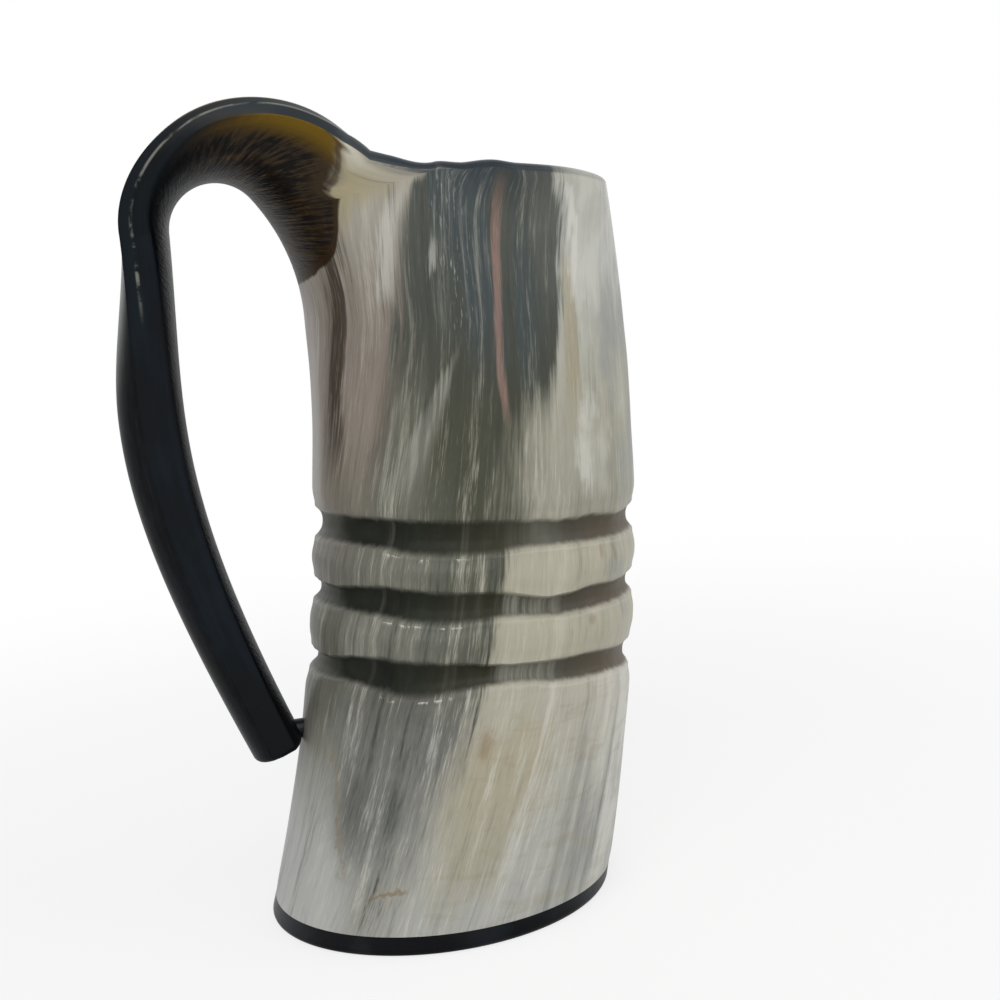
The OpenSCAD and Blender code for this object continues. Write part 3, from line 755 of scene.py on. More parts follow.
def zone_colours(f, c, m):
    """The wall's three zones, and the streaks and clouds that belong to one of them."""
    gz, way, frayed, near, broad, strand, cloud = m.gz, m.way, m.frayed, m.near, m.broad, m.strand, m.cloud
    first, second = (f.line(gz, border, TOP, HALF_TURN) for border in (LEFT_BORDER, RIGHT_BORDER))
    soft = 3 + 5 * f.step(gz, 128, 96)
    past_first = f.step((frayed - first) / soft, -1, 1)
    blur = 3 + 9 * f.step(gz, 120, 104) * f.step(gz, 82, 92) + 11 * f.step(gz, 48, 30)
    m.beyond = beyond = f.step((frayed + cloud * 14 - second) / blur, -1, 1)
    m.smoky = smoky = past_first * (1 - beyond)
    handle_side, middle, far_side = (f.ramp(gz, table, TOP) for table in (HANDLE_SIDE, MIDDLE, FAR_SIDE))
    f.colour = f.mix(f.mix(handle_side, middle, past_first), far_side, beyond)
    upper, m.lower = f.step(gz, 84, 92), f.step(gz, 56, 48)
    # Painted reflection: lilac and white where the wall turns away to the handle, then a warm dark streak beside it
    # and a white one by the smoky border
    f.lay(c.horn_lilac, f.step(frayed, 17, 8) * upper * f.step(gz, 146, 128) * 0.85)
    f.lay(c.horn_white, f.step(way, 18, 8) * upper * f.step(gz, 130, 106) * 0.3)
    brown = f.streak(frayed - (29.5 + (gz - 120) * 0.32), 7, gz, 98, 160, 10)
    f.lay(c.horn_brown, brown * near * 0.95)
    white = f.streak(way - first + 5 + m.fine * 8, 5, gz, 130, 145, 3)
    f.lay(c.horn_white, white * near * 0.5)
    tawny = f.streak(frayed - first + 1, 4, gz, 96, 116, 8)
    f.lay(c.horn_brown, tawny * near * 0.45)
    # Mist, cool columns, an olive lens and a slate top in the smoky middle
    mist = f.step(gz, 52, 56) * 0.3 + f.step(cloud + strand, 0, 0.15) * 0.15
    mist = mist * f.step(frayed + broad * 30, 74, 54) * f.step(gz, 124, 106)
    f.lay(c.horn_mist, smoky * mist)
    cool = f.step(gz, 104, 126) * smoky * f.step(frayed, 72, 82) * f.step(frayed, 108, 100)
    f.lay(c.horn_cool, cool * f.step(broad + strand * 0.8, -0.2, 0.06) * 0.9)
    f.lay(c.horn_olive, f.spot(frayed, gz, (80, 15), (104, 26)) * near * 0.8)
    f.lay(c.horn_edge, f.spot(frayed, gz, (94, 26), (158, 16)) * near * 0.7)
    # Yellowish fibres beyond the smoky middle, and clouds
    yellow = f.streak(way + m.fine * 8 + cloud * 8 - (118.5 + (gz - 125) * 0.1), 5, gz, 108, 138, 8)
    f.lay(c.horn_straw, yellow * near * 0.9)
    drift = cloud + broad * 0.3
    f.lay(c.horn_white, f.step(drift, 0, 0.18) * f.step(frayed, 119, 128) * upper * 0.35)
    f.lay(c.horn_cloud, f.step(drift, 0, -0.15) * f.step(frayed, 118, 130) * 0.6)
    x, y = frayed + cloud * 25, gz + cloud * 45 + m.ragged * 8
    for name, share, place, height in CLOUDS:
        f.lay(getattr(c, name), f.spot(x, y, place, height) * share)
    # Cool, dark and yellowish patches near the foot
    cold = f.step(frayed, 110, 150) * (0.25 + 0.4 * f.step(broad + cloud, -0.1, 0.15))
    f.lay(c.horn_white, cold * m.lower)
    dark = f.step(frayed, 104, 124) * f.step(broad + strand * 0.4, -0.02, -0.2)
    f.lay(c.horn_smoke, dark * m.lower * 0.18)
    f.lay(c.bend_straw, f.spot(x, y, (88, 27), (30, 24)) * m.lower * beyond * 0.4)
    patch = f.spot(frayed, gz + m.ragged * 10, (43, 11), (29, 12)) + f.spot(frayed, gz, (57, 6), (30, 9))
    f.lay(c.horn_smoke, patch * near * 0.3)
    arcs = f.step(f.noise(f.join(way * 0.5, gz * 3, 0), 0.12, 2, 0.5, 0.8), 0.5, 0.66)
    f.lay(c.horn_straw, arcs * m.lower * beyond * 0.3)


def fibre_colours(f, c, m):
    """Pale and dark fibres over the zones, then the single streaks and marks of the near side."""
    gz, way, near, fine, strand = m.gz, m.way, m.near, m.fine, m.strand
    pale = f.mix(c.horn_pale, c.horn_white, f.step(gz, 62, 40))
    dusk = m.smoky * f.step(gz, 92, 108)
    f.lay(pale, f.step(m.grain, 0, 0.5) * (0.6 + m.smoky * 0.1 - dusk * 0.35))
    f.lay(c.horn_smoke, f.step(m.grain, 0, -0.5) * (0.6 + m.smoky * 0.35 - m.beyond * 0.25))
    hairs = f.step(m.hair + fine * 0.5, 0.12, 0.34) * m.smoky * f.step(m.cloud + strand, -0.1, 0.15)
    f.lay(pale, hairs * (0.2 - dusk * 0.12 - m.lower * 0.1))
    # Rose streak, milky streak, light dashes and a glint
    rose_line = 90.6 + (gz - 119) * (gz - 119) * 0.0085
    rose = f.streak(way + fine * 3 - rose_line, 1.9, gz, 108, 150, 5)
    f.lay(c.horn_rose, rose * near * (0.7 + m.hair - 0.3 * f.step(gz, 138, 150)))
    milky_line = 64 + (gz - 105) * 0.8
    milky = f.streak(way + fine * 6 - milky_line, 9.5 - 0.27 * (gz - 90), gz, 93, 119, 6)
    f.lay(c.horn_mist, milky * near * (0.35 + 0.6 * f.step(fine + strand, -0.12, 0.2)))
    dashes = f.step(f.noise(f.stretch(m.turned, 1, 1, 0.2), 2.2, 2, 0.6), 0.58, 0.74)
    dashes = dashes * f.spot(way - m.sweep * 0.5, gz, (79, 9), (138, 22))
    f.lay(c.horn_white, dashes * near * 0.35)
    glint = f.spot(way - gz * 0.75 + fine * 5, gz + m.hair * 8, (-29.2, 1.8), (136, 4.5))
    f.lay(c.horn_white, glint * near * 0.4)
    # Stains, a hair crack and a vein
    for wander, lean, place, height in STAINS:
        stain = f.spot(way + m.ragged * wander + gz * lean, gz + m.ragged * wander, place, height)
        f.lay(c.horn_ochre, stain * near * 0.4)
    crack = f.streak(gz - 12.5 - (way - 59) * 0.12 + m.ragged * 5, 0.7, way, 53, 66, 1)
    vein = f.streak(way + m.ragged * 12 - (30 + (40 - gz) * 0.5), 1.6, gz, 15, 40, 3)
    f.lay(c.horn_ochre, (crack * 0.6 + vein * 0.3) * near)


def groove_colours(f, c, m):
    """Darker horn in the bottoms of the grooves, worn pale lips below them, and painted highlights, short bright
    dashes, on the lower lips at 46 to 80 degrees from the handle.
    """
    bottom = f.ramp(m.way + m.strand * 16 + m.cloud * 12, GROOVE_BOTTOM, HALF_TURN)
    fibres = f.step(m.strand + m.fine * 0.6, -0.15, 0.2) * f.streak(m.way - 99, 15, m.gz, 40, 80, 2)
    bottom = f.mix(bottom, c.horn_mist, fibres * 0.65)
    bottom = f.mix(bottom, c.horn_mist, f.step(m.strand + m.broad, 0.1, 0.5) * 0.2)
    f.lay(bottom, f.step(m.cut + m.fine * 0.4 + m.strand * 0.4 + m.ragged * 0.3, 0.05, 0.7) * 0.97)
    lip = f.step(m.under + m.ragged * 3 + m.fine * 2, 1.2, 0) * f.step(m.under, -0.5, 0)
    # Painted highlight: bright dashes where the lower lips catch the light; farther round, a faint worn paleness
    lip_highlights = f.step(m.strand + m.ragged, 0, 0.1) * f.step(m.way, 46, 51) * f.step(m.way, 80, 72)
    f.lay(c.horn_white, lip * m.near * (f.step(m.way, 82, 96) * 0.15 + lip_highlights * 0.8))


def bend_colours(f, c, m):
    """Straw below the bend, then its brown with wrinkles, darkened in part by painted shade of the arch's underside,
    a crease of painted shade along its border, and mustard by the cut edge.
    """
    gz, side = m.gz, m.side
    past = gz - f.line(side, BEND_BORDER, HALF_TURN, HALF_TURN)
    outside = 1 - m.inside
    loose = 1 + 2.2 * f.step(side, 56, 68)
    m.bent = bent = f.step((past + m.fine * 0.8 + m.strand * 1.5) / loose, -0.4, 0.3) * outside
    straw = f.step(past + m.strand * 5, -5, -1) * f.step(side, 40, 50) * f.step(side, 90, 84) * outside
    f.lay(c.bend_straw, straw * (1 - bent) * 0.6)
    f.lay(c.horn_pale, straw * (1 - bent) * f.step(side, 72, 84) * f.step(gz, 146, 149) * 0.9)
    # Partly painted shade: the bend's own brown, as dark as the arch's underside in its shadow
    f.lay(c.bend_brown, bent * 0.97)
    threads = f.noise(f.join(side * 0.06, gz * 1.5 + side * 0.09, 0), 1.1, 3, 0.6, 0.2)
    wrinkled = bent * f.step(side, 82, 70) * f.step(past, 0.6, 3)
    m.wrinkles = (threads - 0.5) * wrinkled
    f.lay(c.horn_night, f.step(threads + m.cloud * 0.5, 0.6, 0.42) * wrinkled * 0.9)
    f.lay(c.bend_tan, f.step(threads + m.fine * 0.3, 0.6, 0.76) * wrinkled * 0.6)
    mustard = f.step(side + m.fine * 4, 68, 84) * f.step(side, 90, 86) * f.step(gz + threads * 3, 166, 157.5)
    f.lay(c.bend_mustard, mustard * bent * 0.9)
    # Painted shade: a thin dark line along the fold at the bend's border
    crease_shade = f.streak(past, 0.45, side, 44, 88, 6) * outside
    f.lay(c.bend_brown, crease_shade * 0.6)


def black_colours(f, c, m):
    """The black tongue, the inside of the wall, the dark rim and cut edges, and a painted highlight in dashes along
    their ridge.
    """
    gz = m.gz
    m.night = night = f.step(gz + m.strand * 12 + m.cloud * 6, 158.5, 168)
    black = f.mix(c.horn_night, c.horn_blue, f.step(m.cloud + m.strand, -0.1, 0.25))
    f.lay(black, night)
    f.lay(c.horn_inner, m.inside * (1 - night) * 0.6)
    rim = f.step(m.edge, 0.5, 0.85) * (1 - f.step(m.side, 112, 130) * 0.7)
    f.lay(c.horn_edge, rim * (1 - night * 0.85) * 0.95)
    # Painted highlight: a broken pale line where the cut edges' ridge catches the light
    ridge = f.step(m.edge + m.fine * 0.02, 0.972, 0.995) * f.step(m.worn, 0.4, 0.55)
    f.lay(c.horn_mist, ridge * f.step(gz, 150, 153) * f.step(gz, 196, 184) * 0.6)


def horn_finish():
    """Polished horn. Its fibres climb round the cup. A pale zone by the handle, a smoky one in the middle and a
    pale one beyond it have borders drawn over the height, whose edges the fibres fray. The carved grooves
    cut down to darker horn, the bend is brown and wrinkled and in part darkened by painted shade, and the
    tongue turns black past it."""
    # f makes the nodes, c has the named colours, and m the places and noises that the layers share
    c, f = colours(), Finish(bpy.data.materials.new("polished_horn"))
    m = horn_places(f)
    for layer in (zone_colours, fibre_colours, groove_colours, bend_colours, black_colours):
        layer(f, c, m)
    gloss = 0.24 + m.worn * 0.16 + f.step(m.cut, 0.2, 0.6) * 0.12 + f.step(m.hair, 0.1, 0.25) * 0.08
    coat = 0.03 + 0.1 * f.step(m.worn, 0.45, 0.7) + 0.1 * f.step(m.cut, 0.3, 0) * (1 - m.night)
    relief = m.strand * 0.35 + m.fine * 0.3 + m.hair * 0.15 + m.worn * 0.3 + m.wrinkles * 5
    surface = {"base_color": f.colour, "roughness": gloss, "coat_weight": coat * (1 - m.bent * 0.85)}
    return f.end(**surface, normal=f.bump(relief, 0.00012, 0.5), specular_ior_level=0.1, coat_roughness=0.1)


def clouded_finish(name, main, cloudy):
    """Polished black horn, base plate or set glue: clouds of a second colour, and small paler scuffs."""
    f = Finish(bpy.data.materials.new(name))
    place = f.stretch(f.add("TexCoord", out="Object"), 1 / MM, 1 / MM, 1 / MM)
    cloud = f.noise(place, 0.06, 3)
    scuff = f.noise(f.stretch(place, 1, 1, 4), 0.5, 4, 0.7)
    f.colour = f.mix(main, cloudy, f.step(cloud, 0.42, 0.7))
    f.lay(tuple(4 * x + 0.02 for x in cloudy), f.step(scuff, 0.66, 0.8) * 0.5)
    gloss = 0.22 + cloud * 0.15 + f.step(scuff, 0.6, 0.75) * 0.2
    coat = 0.04 + 0.12 * f.step(cloud, 0.45, 0.6)
    surface = {"base_color": f.colour, "roughness": gloss, "coat_weight": coat}
    return f.end(**surface, normal=f.bump(scuff + cloud, 0.0001, 0.4), specular_ior_level=0.12, coat_roughness=0.08)


# ---------------------------------------------------------------- pieces

# What a point of the horn carries: its place in the horn before it was bent, its share of a groove's depth,
# how far below a lip it is, how near a cut edge and whether it is inside
HORN_VALUES = {"grown": 3, "cut": 1, "under": 1, "edge": 1, "inside": 1}
# What "under" is out of reach of a lip's wear, and inside a groove
CLEAR, IN_GROOVE = 8.0, -1.0
# What "edge" is on the polished rim, just beside it, and how much it falls from a cut edge's ridge to its side
RIM_EDGE, SOFT_EDGE, RIDGE_FALL = 0.9, 0.6, 0.2
# Columns on each half of the tongue and on the rest of the wall, and rows over the rim or a cut edge
TONGUE_HALF, REST, RIM = 70, 158, 11
# Rows of the wall below the grooves, in each groove, in each band between them, and above them
FOOT_ROWS, GROOVE_ROWS, BAND_ROWS, TOP_ROWS = 48, 24, 11, 42
# A band lies LIP_DENT deep at its lips, back to plain over DENT_REACH. It stands out by up to BAND_SWELL
# at SWELL_AT from a lip, and is plain again SWELL_FADE further on. NO_LIP is farther than all of these.
LIP_DENT, DENT_REACH, BAND_SWELL, SWELL_AT, SWELL_FADE, NO_LIP = 0.3, 3.4, 0.25, 4, 14, 99
# Places across the tongue, and angles of the points round the base plate and the glue
ACROSS = np.linspace(-1, 1, 2 * TONGUE_HALF + 1)
ROUND = np.linspace(0, 360, 301)[:-1]


def closed(ids):
    """Rings of point numbers, each with its first number once more at its end."""
    return np.concatenate([ids, ids[:, :1]], axis=1)


def columns(horn):
    """Angle of each column: the tongue's share of the wall first, then the rest of the way round."""
    rest = np.linspace(horn.root_angle, 360 - horn.root_angle, REST + 2)[1:-1]
    return np.concatenate([horn.root_angle * ACROSS, rest])


def wall_rows(horn, a):
    """Rows of the wall from the foot to the tongue's root: their heights, how deep they lie under the plain
    horn, their share of a groove's depth, and how far they are below a lip. The rows follow the lips. A
    groove's depth is D(1 - |s|^2.4), s from -1 at its lower lip to 1 at its upper one."""
    s = horn.s
    lips = [horn.lips(g, a) for g in (2, 1, 0)]
    deep = s.groove_depth * (0.9 + 0.1 * cosd(a + 35))
    z, cut, under, sunk = [], [], [], []

    def band(low, high, count, last=False):
        """Rows of a band between two lips. The first one has no lip below it and the last none above it."""
        t = np.linspace(0, 1, count + 1)[: None if last else -1, None]
        z.append(low + (high - low) * t)
        cut.append(np.zeros_like(z[-1]))
        under.append(np.full_like(z[-1], CLEAR) if last else np.clip(high - z[-1], 0, CLEAR))
        lip = np.minimum(NO_LIP if last else high - z[-1], z[-1] - low if len(z) > 1 else NO_LIP)
        stands_out = BAND_SWELL * ease(lip / SWELL_AT) * (1 - ease((lip - SWELL_AT) / SWELL_FADE))
        sunk.append(LIP_DENT * (1 - ease(lip / DENT_REACH)) - stands_out)

    band(np.full_like(a, s.plate_thick), lips[0][0], FOOT_ROWS)
    for i, (low, high) in enumerate(lips):
        t = np.linspace(0, 1, GROOVE_ROWS + 1)[:-1, None]
        share = -cosd(180 * t) * 0.25 + (2 * t - 1) * 0.75
        z.append(low + (high - low) * (share + 1) / 2)
        cut.append(1 - np.abs(share) ** 2.4 + np.zeros_like(a))
        under.append(np.full_like(z[-1], IN_GROOVE))
        sunk.append(np.full_like(z[-1], LIP_DENT))
        if i < 2:
            band(high, lips[i + 1][0], BAND_ROWS)
    band(lips[2][1], np.full_like(a, s.root_z), TOP_ROWS, last=True)
    z, cut, under, sunk = (np.concatenate(rows) for rows in (z, cut, under, sunk))
    return z, cut * deep + sunk, cut, under


def facets(z, a):
    """Slow waver that hand scraping leaves: two sums of sines round and up the cup, a tenth of a mm high."""
    return 0.10 * ripple(a + 0.5 * z, 5, 4, 3, 9) * sind(z * 2.1 + 40) + 0.05 * ripple(a, 6, 5, 8, 17)


def upper_rows(horn, skin, a, v, depth, edge_from, **values):
    """Adds the wall's points above the root's height, at shares v of the way to the rim and at one depth.
    Beside the tongue's corner their edge value eases in from the share edge_from."""
    s = horn.s
    height = s.root_z + (s.cup_height - s.root_z) * v
    grown_up = height + (horn.grown_z(horn.root_end * v) - height) * horn.pull(a)
    beside = ease((np.abs(around(a)) - horn.root_angle + 2) / 8)
    edge = ease((v - edge_from) / (1 - edge_from)) * SOFT_EDGE * beside
    grown = horn.grown_at(grown_up, a, depth)
    return skin.add(horn.upper_at(v, a, depth + 0 * a), grown=grown, under=CLEAR, edge=edge, **values)


def horn_wall(finish):
    """The cup's wall with the grooves, its inside, the polished rim and the tongue up to the seam."""
    horn = Horn(sizes())
    s, skin, a, across = horn.s, Skin(HORN_VALUES), columns(horn), len(ACROSS)
    # Outside, up to the root's height, then on to the rim
    z, depth, cut, under = wall_rows(horn, a)
    waver = ease((z - s.plate_thick) / 3) * facets(z, a) * (1 - ease((z - s.root_z + 12) / 12))
    outside = horn.wall_at(z / s.cup_height, a, depth + waver)
    low = skin.add(outside, grown=horn.grown_at(z, a, 0), cut=cut, under=under)
    high = upper_rows(horn, skin, a, np.linspace(0, 1, 31)[1:, None], 0, 0.93)
    outer = closed(np.concatenate([low, high]))
    skin.grid(outer, flip=True)
    # Inside
    z = horn.seal_top + (s.root_z - horn.seal_top) * np.linspace(0, 1, 26)[:, None]
    z = np.concatenate([[[s.plate_thick]], z]) + 0 * a
    bore = horn.wall_at(z / s.cup_height, a, s.wall)
    low = skin.add(bore, grown=horn.grown_at(z, a, s.wall), inside=1, under=CLEAR)
    high = upper_rows(horn, skin, a, np.linspace(0, 1, 17)[1:, None], s.wall, 0.9, inside=1)
    inner = closed(np.concatenate([low, high]))
    skin.grid(inner)
    # Foot
    skin.grid(np.stack([outer[0], inner[0]]))
    # Rim: a half ellipse from the outer to the inner wall
    t = np.linspace(0, 180, RIM + 2)[1:-1, None]
    rest, v = a[across:], np.array(1.0)
    o, i = (horn.upper_at(v, rest, d + 0 * rest) for d in (0, s.wall))
    points = (o + i) / 2 + (o - i) / 2 * cosd(t)[..., None] + horn.rim_way(rest) * s.rim_round * sind(t)[..., None]
    grown = horn.grown_at(s.cup_height + 0 * t, rest, s.wall * (1 - cosd(t)) / 2)
    rim = skin.add(points, grown=grown, edge=RIM_EDGE, under=CLEAR, inside=ease((t - 90) / 60))
    # Corners where the rim passes into the cut edges of the tongue
    t = np.linspace(0, 1, RIM + 2)[1:-1]
    w, corners = np.full(RIM, horn.root_end), []
    for sign in (1, -1):
        grown = horn.grown_at(horn.grown_z(w), sign * horn.root_angle + 0 * t, s.wall * t)
        corners.append(skin.add(horn.edge_at(w, sign, t), grown=grown, edge=RIM_EDGE, under=CLEAR))
    top, bottom = outer[-1], inner[-1]
    chain = np.concatenate([corners[0][:, None], rim, corners[1][:, None]], axis=1)
    skin.grid(np.concatenate([top[None, across - 1 :], chain, bottom[None, across - 1 :]]), flip=True)
    # Tongue up to the seam
    narrowing = horn.root_end + (horn.neck - horn.root_end) * np.linspace(0, 1, 13)[1:] ** 2
    rings = tongue_rings(horn, skin, np.concatenate([narrowing, np.linspace(horn.neck, horn.seam, 45)[1:]]))
    start = np.concatenate([top[:across], corners[0], bottom[:across][::-1], corners[1][::-1], top[:1]])
    skin.grid(np.concatenate([start[None], rings]), flip=True)
    close_section(skin, rings[-1], flip=True)
    tied_piece(skin, "horn_wall", finish, "horn_body")


def tongue_rings(horn, skin, places):
    """Adds closed sections of the tongue at these places: outer face, edge, inner face back, edge. In the
    horn before it was bent they lie on a tube as wide as at the tongue's root."""
    w, t = places[:, None], np.linspace(0, 1, RIM + 2)[1:-1]
    along, spread, wall = horn.grown_z(w), horn.root_angle * ACROSS, horn.s.wall

    def grown(a, d):
        return vec(-(horn.ring_x - d) * cosd(a), (horn.ring_x - d) * sind(a), along)

    outer = skin.add(horn.tongue_at(w, ACROSS), grown=grown(spread, 0), under=CLEAR)
    inner_face = horn.tongue_at(w, ACROSS[::-1], under=True)
    inner = skin.add(inner_face, grown=grown(spread[::-1], wall), inside=1, under=CLEAR)
    edge, sides = 1 - RIDGE_FALL * np.abs(t - RIDGE) / RIDGE, []
    for sign in (1, -1):
        points = horn.edge_at(w, sign, t)
        sides.append(skin.add(points, grown=grown(sign * horn.root_angle, wall * t), edge=edge, under=CLEAR))
    return closed(np.concatenate([outer, sides[0], inner, sides[1][:, ::-1]], axis=1))


def close_section(skin, ring, flip=False):
    """Flat end on a section: a strip between the two faces and one face on each edge."""
    across = len(ACROSS)
    outer, side_a, inner, side_b = np.split(ring[:-1], [across, across + RIM, 2 * across + RIM])
    skin.grid(np.stack([outer, inner[::-1]]), flip=not flip)
    skin.fan(np.concatenate([outer[-1:], side_a, inner[:1]]), flip=not flip)
    skin.fan(np.concatenate([inner[-1:], side_b, outer[:1]]), flip=not flip)


def tied_piece(skin, name, finish, node):
    """Makes the piece with its finish, hangs it on the root body and hides its CAD node."""
    made = skin.piece(name, finish)
    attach(made, "root")
    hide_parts(node)


def horn_handle(finish):
    """The tongue past the seam: over the arch, down the grip and to its rounded end, whose rows turn in over
    a quarter circle and then close in on the middle over a low dome, a parabola."""
    turning, closing, dome_height, last_share = 10, 8, 0.25, 0.08
    horn = Horn(sizes())
    s, skin = horn.s, Skin(HORN_VALUES)
    rings = tongue_rings(horn, skin, np.concatenate([np.linspace(horn.seam, 2, 40)[:-1], np.linspace(2, 3, 190)]))
    last = np.concatenate(skin.points)[rings[-1][:-1]]
    end, centre = np.array(3.0), np.array(0.0)
    middle = (horn.tongue_at(end, centre) + horn.tongue_at(end, centre, under=True)) / 2
    t = np.concatenate([np.linspace(0, 90, turning + 1)[1:], np.full(closing, 90.0)])[:, None, None]
    keep = 1 - s.tip_round * (1 - cosd(t)) / s.grip_half
    keep[turning:, 0, 0] *= np.linspace(1, last_share, closing + 1)[1:]
    dome = dome_height * (1 - (keep / keep[turning - 1]) ** 2) * (t >= 90)
    points = middle + (last - middle) * keep + horn.axes(end)[0] * (s.tip_round * sind(t) + dome)
    # The end takes one place in the grown horn, so that it is plain black
    ends = skin.add(points, grown=vec(0, 8, horn.grown_z(3)) + 0 * points, edge=SOFT_EDGE, under=CLEAR)
    skin.grid(np.concatenate([rings, closed(ends)]), flip=True)
    close_section(skin, rings[0])
    skin.fan(ends[-1], flip=True)
    tied_piece(skin, "horn_handle", finish, "handle")


def ring_piece(rings, name, finish, node, close):
    """A body from closed rings, one above the other, with its ends closed or joined to each other."""
    skin = Skin({})
    ids = closed(skin.add(rings))
    if close:
        skin.grid(ids, flip=True)
        skin.fan(ids[0][:-1])
        skin.fan(ids[-1][:-1], flip=True)
    else:
        skin.grid(np.concatenate([ids, ids[:1]]), flip=True)
    tied_piece(skin, name, finish, node)


def base_plate(finish):
    """Flange with a rounded lower edge, and the plug above it, as one turned outline of rings. The flat faces
    have two rings each, and the plug a small bevel at its top."""
    horn, t, bevel = Horn(sizes()), np.linspace(0, 90, 13), 0.3
    s = horn.s
    side = np.linspace(s.plate_round, s.plate_thick, 8)[1:]
    plug, top = s.wall + s.glue_gap, s.plate_thick + s.plug_height
    heights = [[0, 0], s.plate_round * (1 - cosd(t)), side, [s.plate_thick, top - bevel, top, top, top]]
    depths = [[20, 6], s.plate_round * (1 - sind(t)), 0 * side, [plug, plug, plug + bevel, 12, 22]]
    heights, depths = (np.concatenate(rows)[:, None] for rows in (heights, depths))
    rings = horn.wall_at(heights / s.cup_height, ROUND, depths)
    ring_piece(rings, "base_plate_looks", finish, "base_plate", True)


def glue_ring(finish):
    """Glue joint round the plug: a ring whose top is a hollow fillet against the wall."""
    horn, t = Horn(sizes()), np.linspace(0, 90, 9)
    s = horn.s
    top, gap = s.plate_thick + s.plug_height, s.wall + s.glue_gap
    heights = [[s.plate_thick], horn.seal_top - s.fillet_leg * sind(t), [top, s.plate_thick]]
    depths = [[s.wall], s.wall + (s.glue_gap + s.fillet_leg) * (1 - cosd(t)), [gap, gap]]
    heights, depths = (np.concatenate(rows)[:, None] for rows in (heights, depths))
    rings = horn.wall_at(heights / s.cup_height, ROUND, depths)
    ring_piece(rings, "glue_ring", finish, "base_seal", False)


# ---------------------------------------------------------------- operators and panel


class TANKARD_OT_horn(bpy.types.Operator):
    """Builds the cup's wall and the handle, which are one horn"""

    bl_idname = "tankard.horn"
    bl_label = "Horn"

    def execute(self, context):
        finish = horn_finish()
        horn_wall(finish)
        horn_handle(finish)
        return {"FINISHED"}


class TANKARD_OT_base(bpy.types.Operator):
    """Builds the black base plate and the glue joint round its plug"""

    bl_idname = "tankard.base"
    bl_label = "Base"

    def execute(self, context):
        c = colours()
        base_plate(clouded_finish("polished_base", c.base_black, c.horn_blue))
        glue_ring(clouded_finish("set_glue", c.glue, c.horn_inner))
        return {"FINISHED"}


class TANKARD_OT_peg(bpy.types.Operator):
    """Gives the CAD's peg its black horn finish"""

    bl_idname = "tankard.peg"
    bl_label = "Peg"

    def execute(self, context):
        peg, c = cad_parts["handle_peg"], colours()
        finish = clouded_finish("black_peg", c.horn_night, c.horn_blue)
        for slot in peg.material_slots:
            slot.material = finish
        if not peg.material_slots:
            peg.data.materials.append(finish)
        return {"FINISHED"}


class TANKARD_OT_stage(bpy.types.Operator):
    """Sets up the floor, the lamps, the white surroundings and the camera"""

    bl_idname = "tankard.stage"
    bl_label = "Stage"

    def execute(self, context):
        scene = context.scene
        scene.view_settings.view_transform = "Standard"
        white_room(scene)
        pale_floor()
        centre = (0, 0, 0.085)
        lamp(scene, "key", (-0.3, -0.85, 0.75), centre, 1.1, 6.2)
        lamp(scene, "fill", (0.9, -0.35, 0.55), centre, 1.0, 3.8)
        set_camera(scene, (-0.04883, -0.35496, 0.14537), (0.0221, 0, 0.08545), math.radians(-5.5))
        return {"FINISHED"}


def aim(place, target, roll=0.0):
    """A turn that looks from a place at a target, rolled about the line of sight."""
    turn = (Vector(target) - Vector(place)).to_track_quat("-Z", "Y")
    return (turn.to_matrix() @ Matrix.Rotation(roll, 3, "Z")).to_euler()


def lamp(scene, name, place, target, size, power):
    """A square soft lamp."""
    data = bpy.data.lights.new(name, "AREA")
    data.shape, data.size, data.energy = "SQUARE", size, power
    made = bpy.data.objects.new(name, data)
    made.location, made.rotation_euler = place, aim(place, target)
    scene.collection.objects.link(made)


def set_camera(scene, place, target, roll):
    """The camera, whose lens and sensor give the photograph's field of view."""
    data = bpy.data.cameras.new("camera")
    data.sensor_width, data.lens = 36, 60.70
    camera = bpy.data.objects.new("camera", data)
    camera.location, camera.rotation_euler = place, aim(place, target, roll)
    scene.collection.objects.link(camera)
    scene.camera = camera


def white_room(scene):
    """Surroundings of strength 1 where the camera or a reflection sees them, and weaker as light."""
    scene.world, light = bpy.data.worlds.new("white_room"), 0.55
    f = Finish(scene.world)
    seen = f.add("LightPath", out="Is Camera Ray").sum("MAXIMUM", f.add("LightPath", out="Is Glossy Ray"))
    air = f.add("Background", inputs={"Color": (1, 1, 1), "Strength": light + seen * (1 - light)})
    f.add("OutputWorld", inputs={"Surface": air})


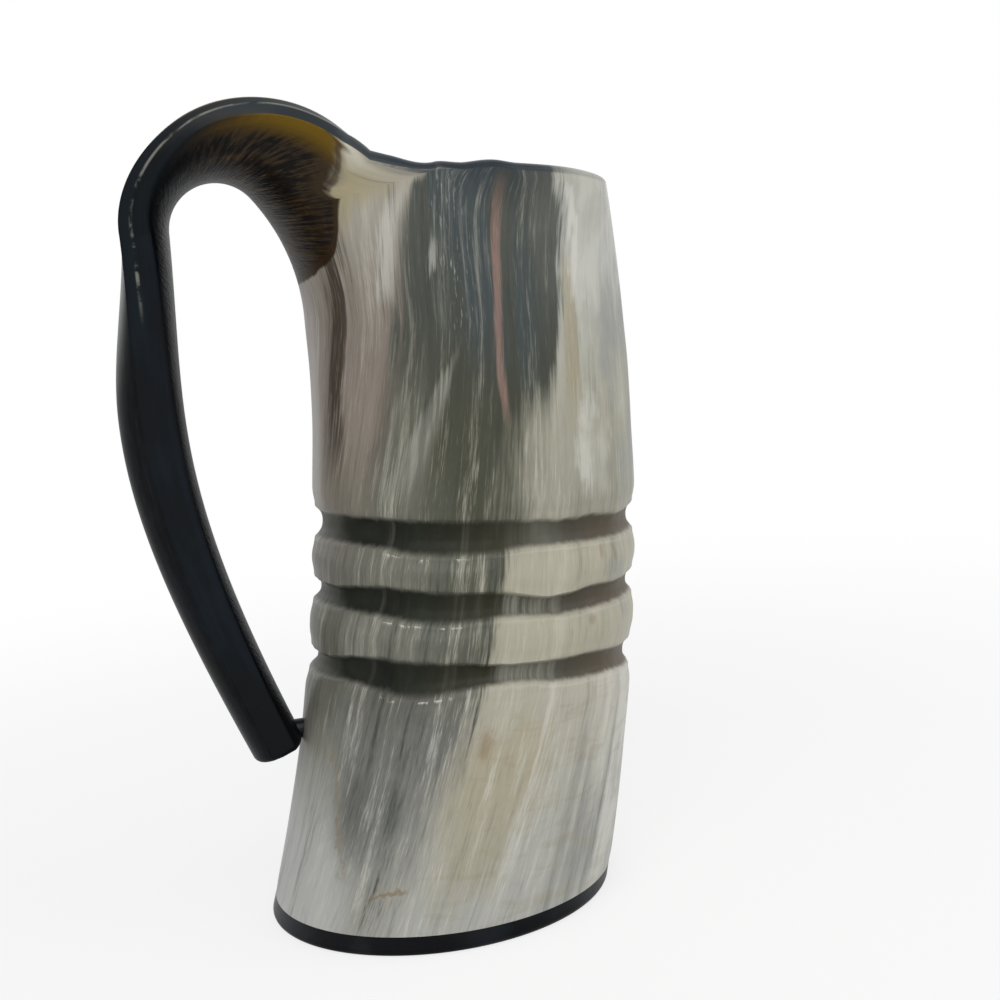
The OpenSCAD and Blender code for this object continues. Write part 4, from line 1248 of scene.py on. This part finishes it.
def pale_floor():
    """A pale floor that keeps the shadow. The camera sees it partly as white glow, wholly so far off."""
    f = Finish(bpy.data.materials.new("pale_floor"))
    x, y, _ = f.parts(f.add("TexCoord", out="Object"))
    far_off = f.step((x * x + y * y) ** 0.5, 0.12, 0.42)
    paint = f.add("BsdfDiffuse", inputs={"Color": (0.85, 0.85, 0.85)})
    glow = f.add("Emission", inputs={"Color": (1, 1, 1), "Strength": 1.0})
    share = f.add("LightPath", out="Is Camera Ray") * (0.75 + far_off * 0.25)
    f.add("OutputMaterial", inputs={"Surface": f.add("MixShader", inputs={0: share, 1: paint, 2: glow})})
    skin, far = Skin({}), 3000.0
    skin.grid(skin.add(np.array([[[-far, -far, 0], [far, -far, 0]], [[-far, far, 0], [far, far, 0]]])))
    skin.piece("floor", f.owner)


OPERATORS = (TANKARD_OT_horn, TANKARD_OT_base, TANKARD_OT_peg, TANKARD_OT_stage)


class TANKARD_PT_panel(bpy.types.Panel):
    """Sizes, colours and pieces of the tankard"""

    bl_label = "Tankard"
    bl_space_type = "VIEW_3D"
    bl_region_type = "UI"
    bl_category = "Tankard"

    def draw(self, context):
        for place, kind in GROUPS.items():
            box = self.layout.box()
            for name in kind.__annotations__:
                box.prop(getattr(context.scene, place), name)
        for operator in OPERATORS:
            self.layout.operator(operator.bl_idname)


CLASSES = (*GROUPS.values(), *OPERATORS, TANKARD_PT_panel)


def register():
    """Registers the classes and hangs the sizes and colours on the scene."""
    for kind in CLASSES:
        bpy.utils.register_class(kind)
    for place, kind in GROUPS.items():
        setattr(bpy.types.Scene, place, PointerProperty(type=kind))


def unregister():
    """Takes the sizes, colours and classes away again."""
    for place in GROUPS:
        delattr(bpy.types.Scene, place)
    for kind in reversed(CLASSES):
        bpy.utils.unregister_class(kind)


def main():
    """Builds every piece."""
    register()
    bpy.ops.tankard.horn()
    bpy.ops.tankard.base()
    bpy.ops.tankard.peg()
    bpy.ops.tankard.stage()
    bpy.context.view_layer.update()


if __name__ == "__main__":
    main()
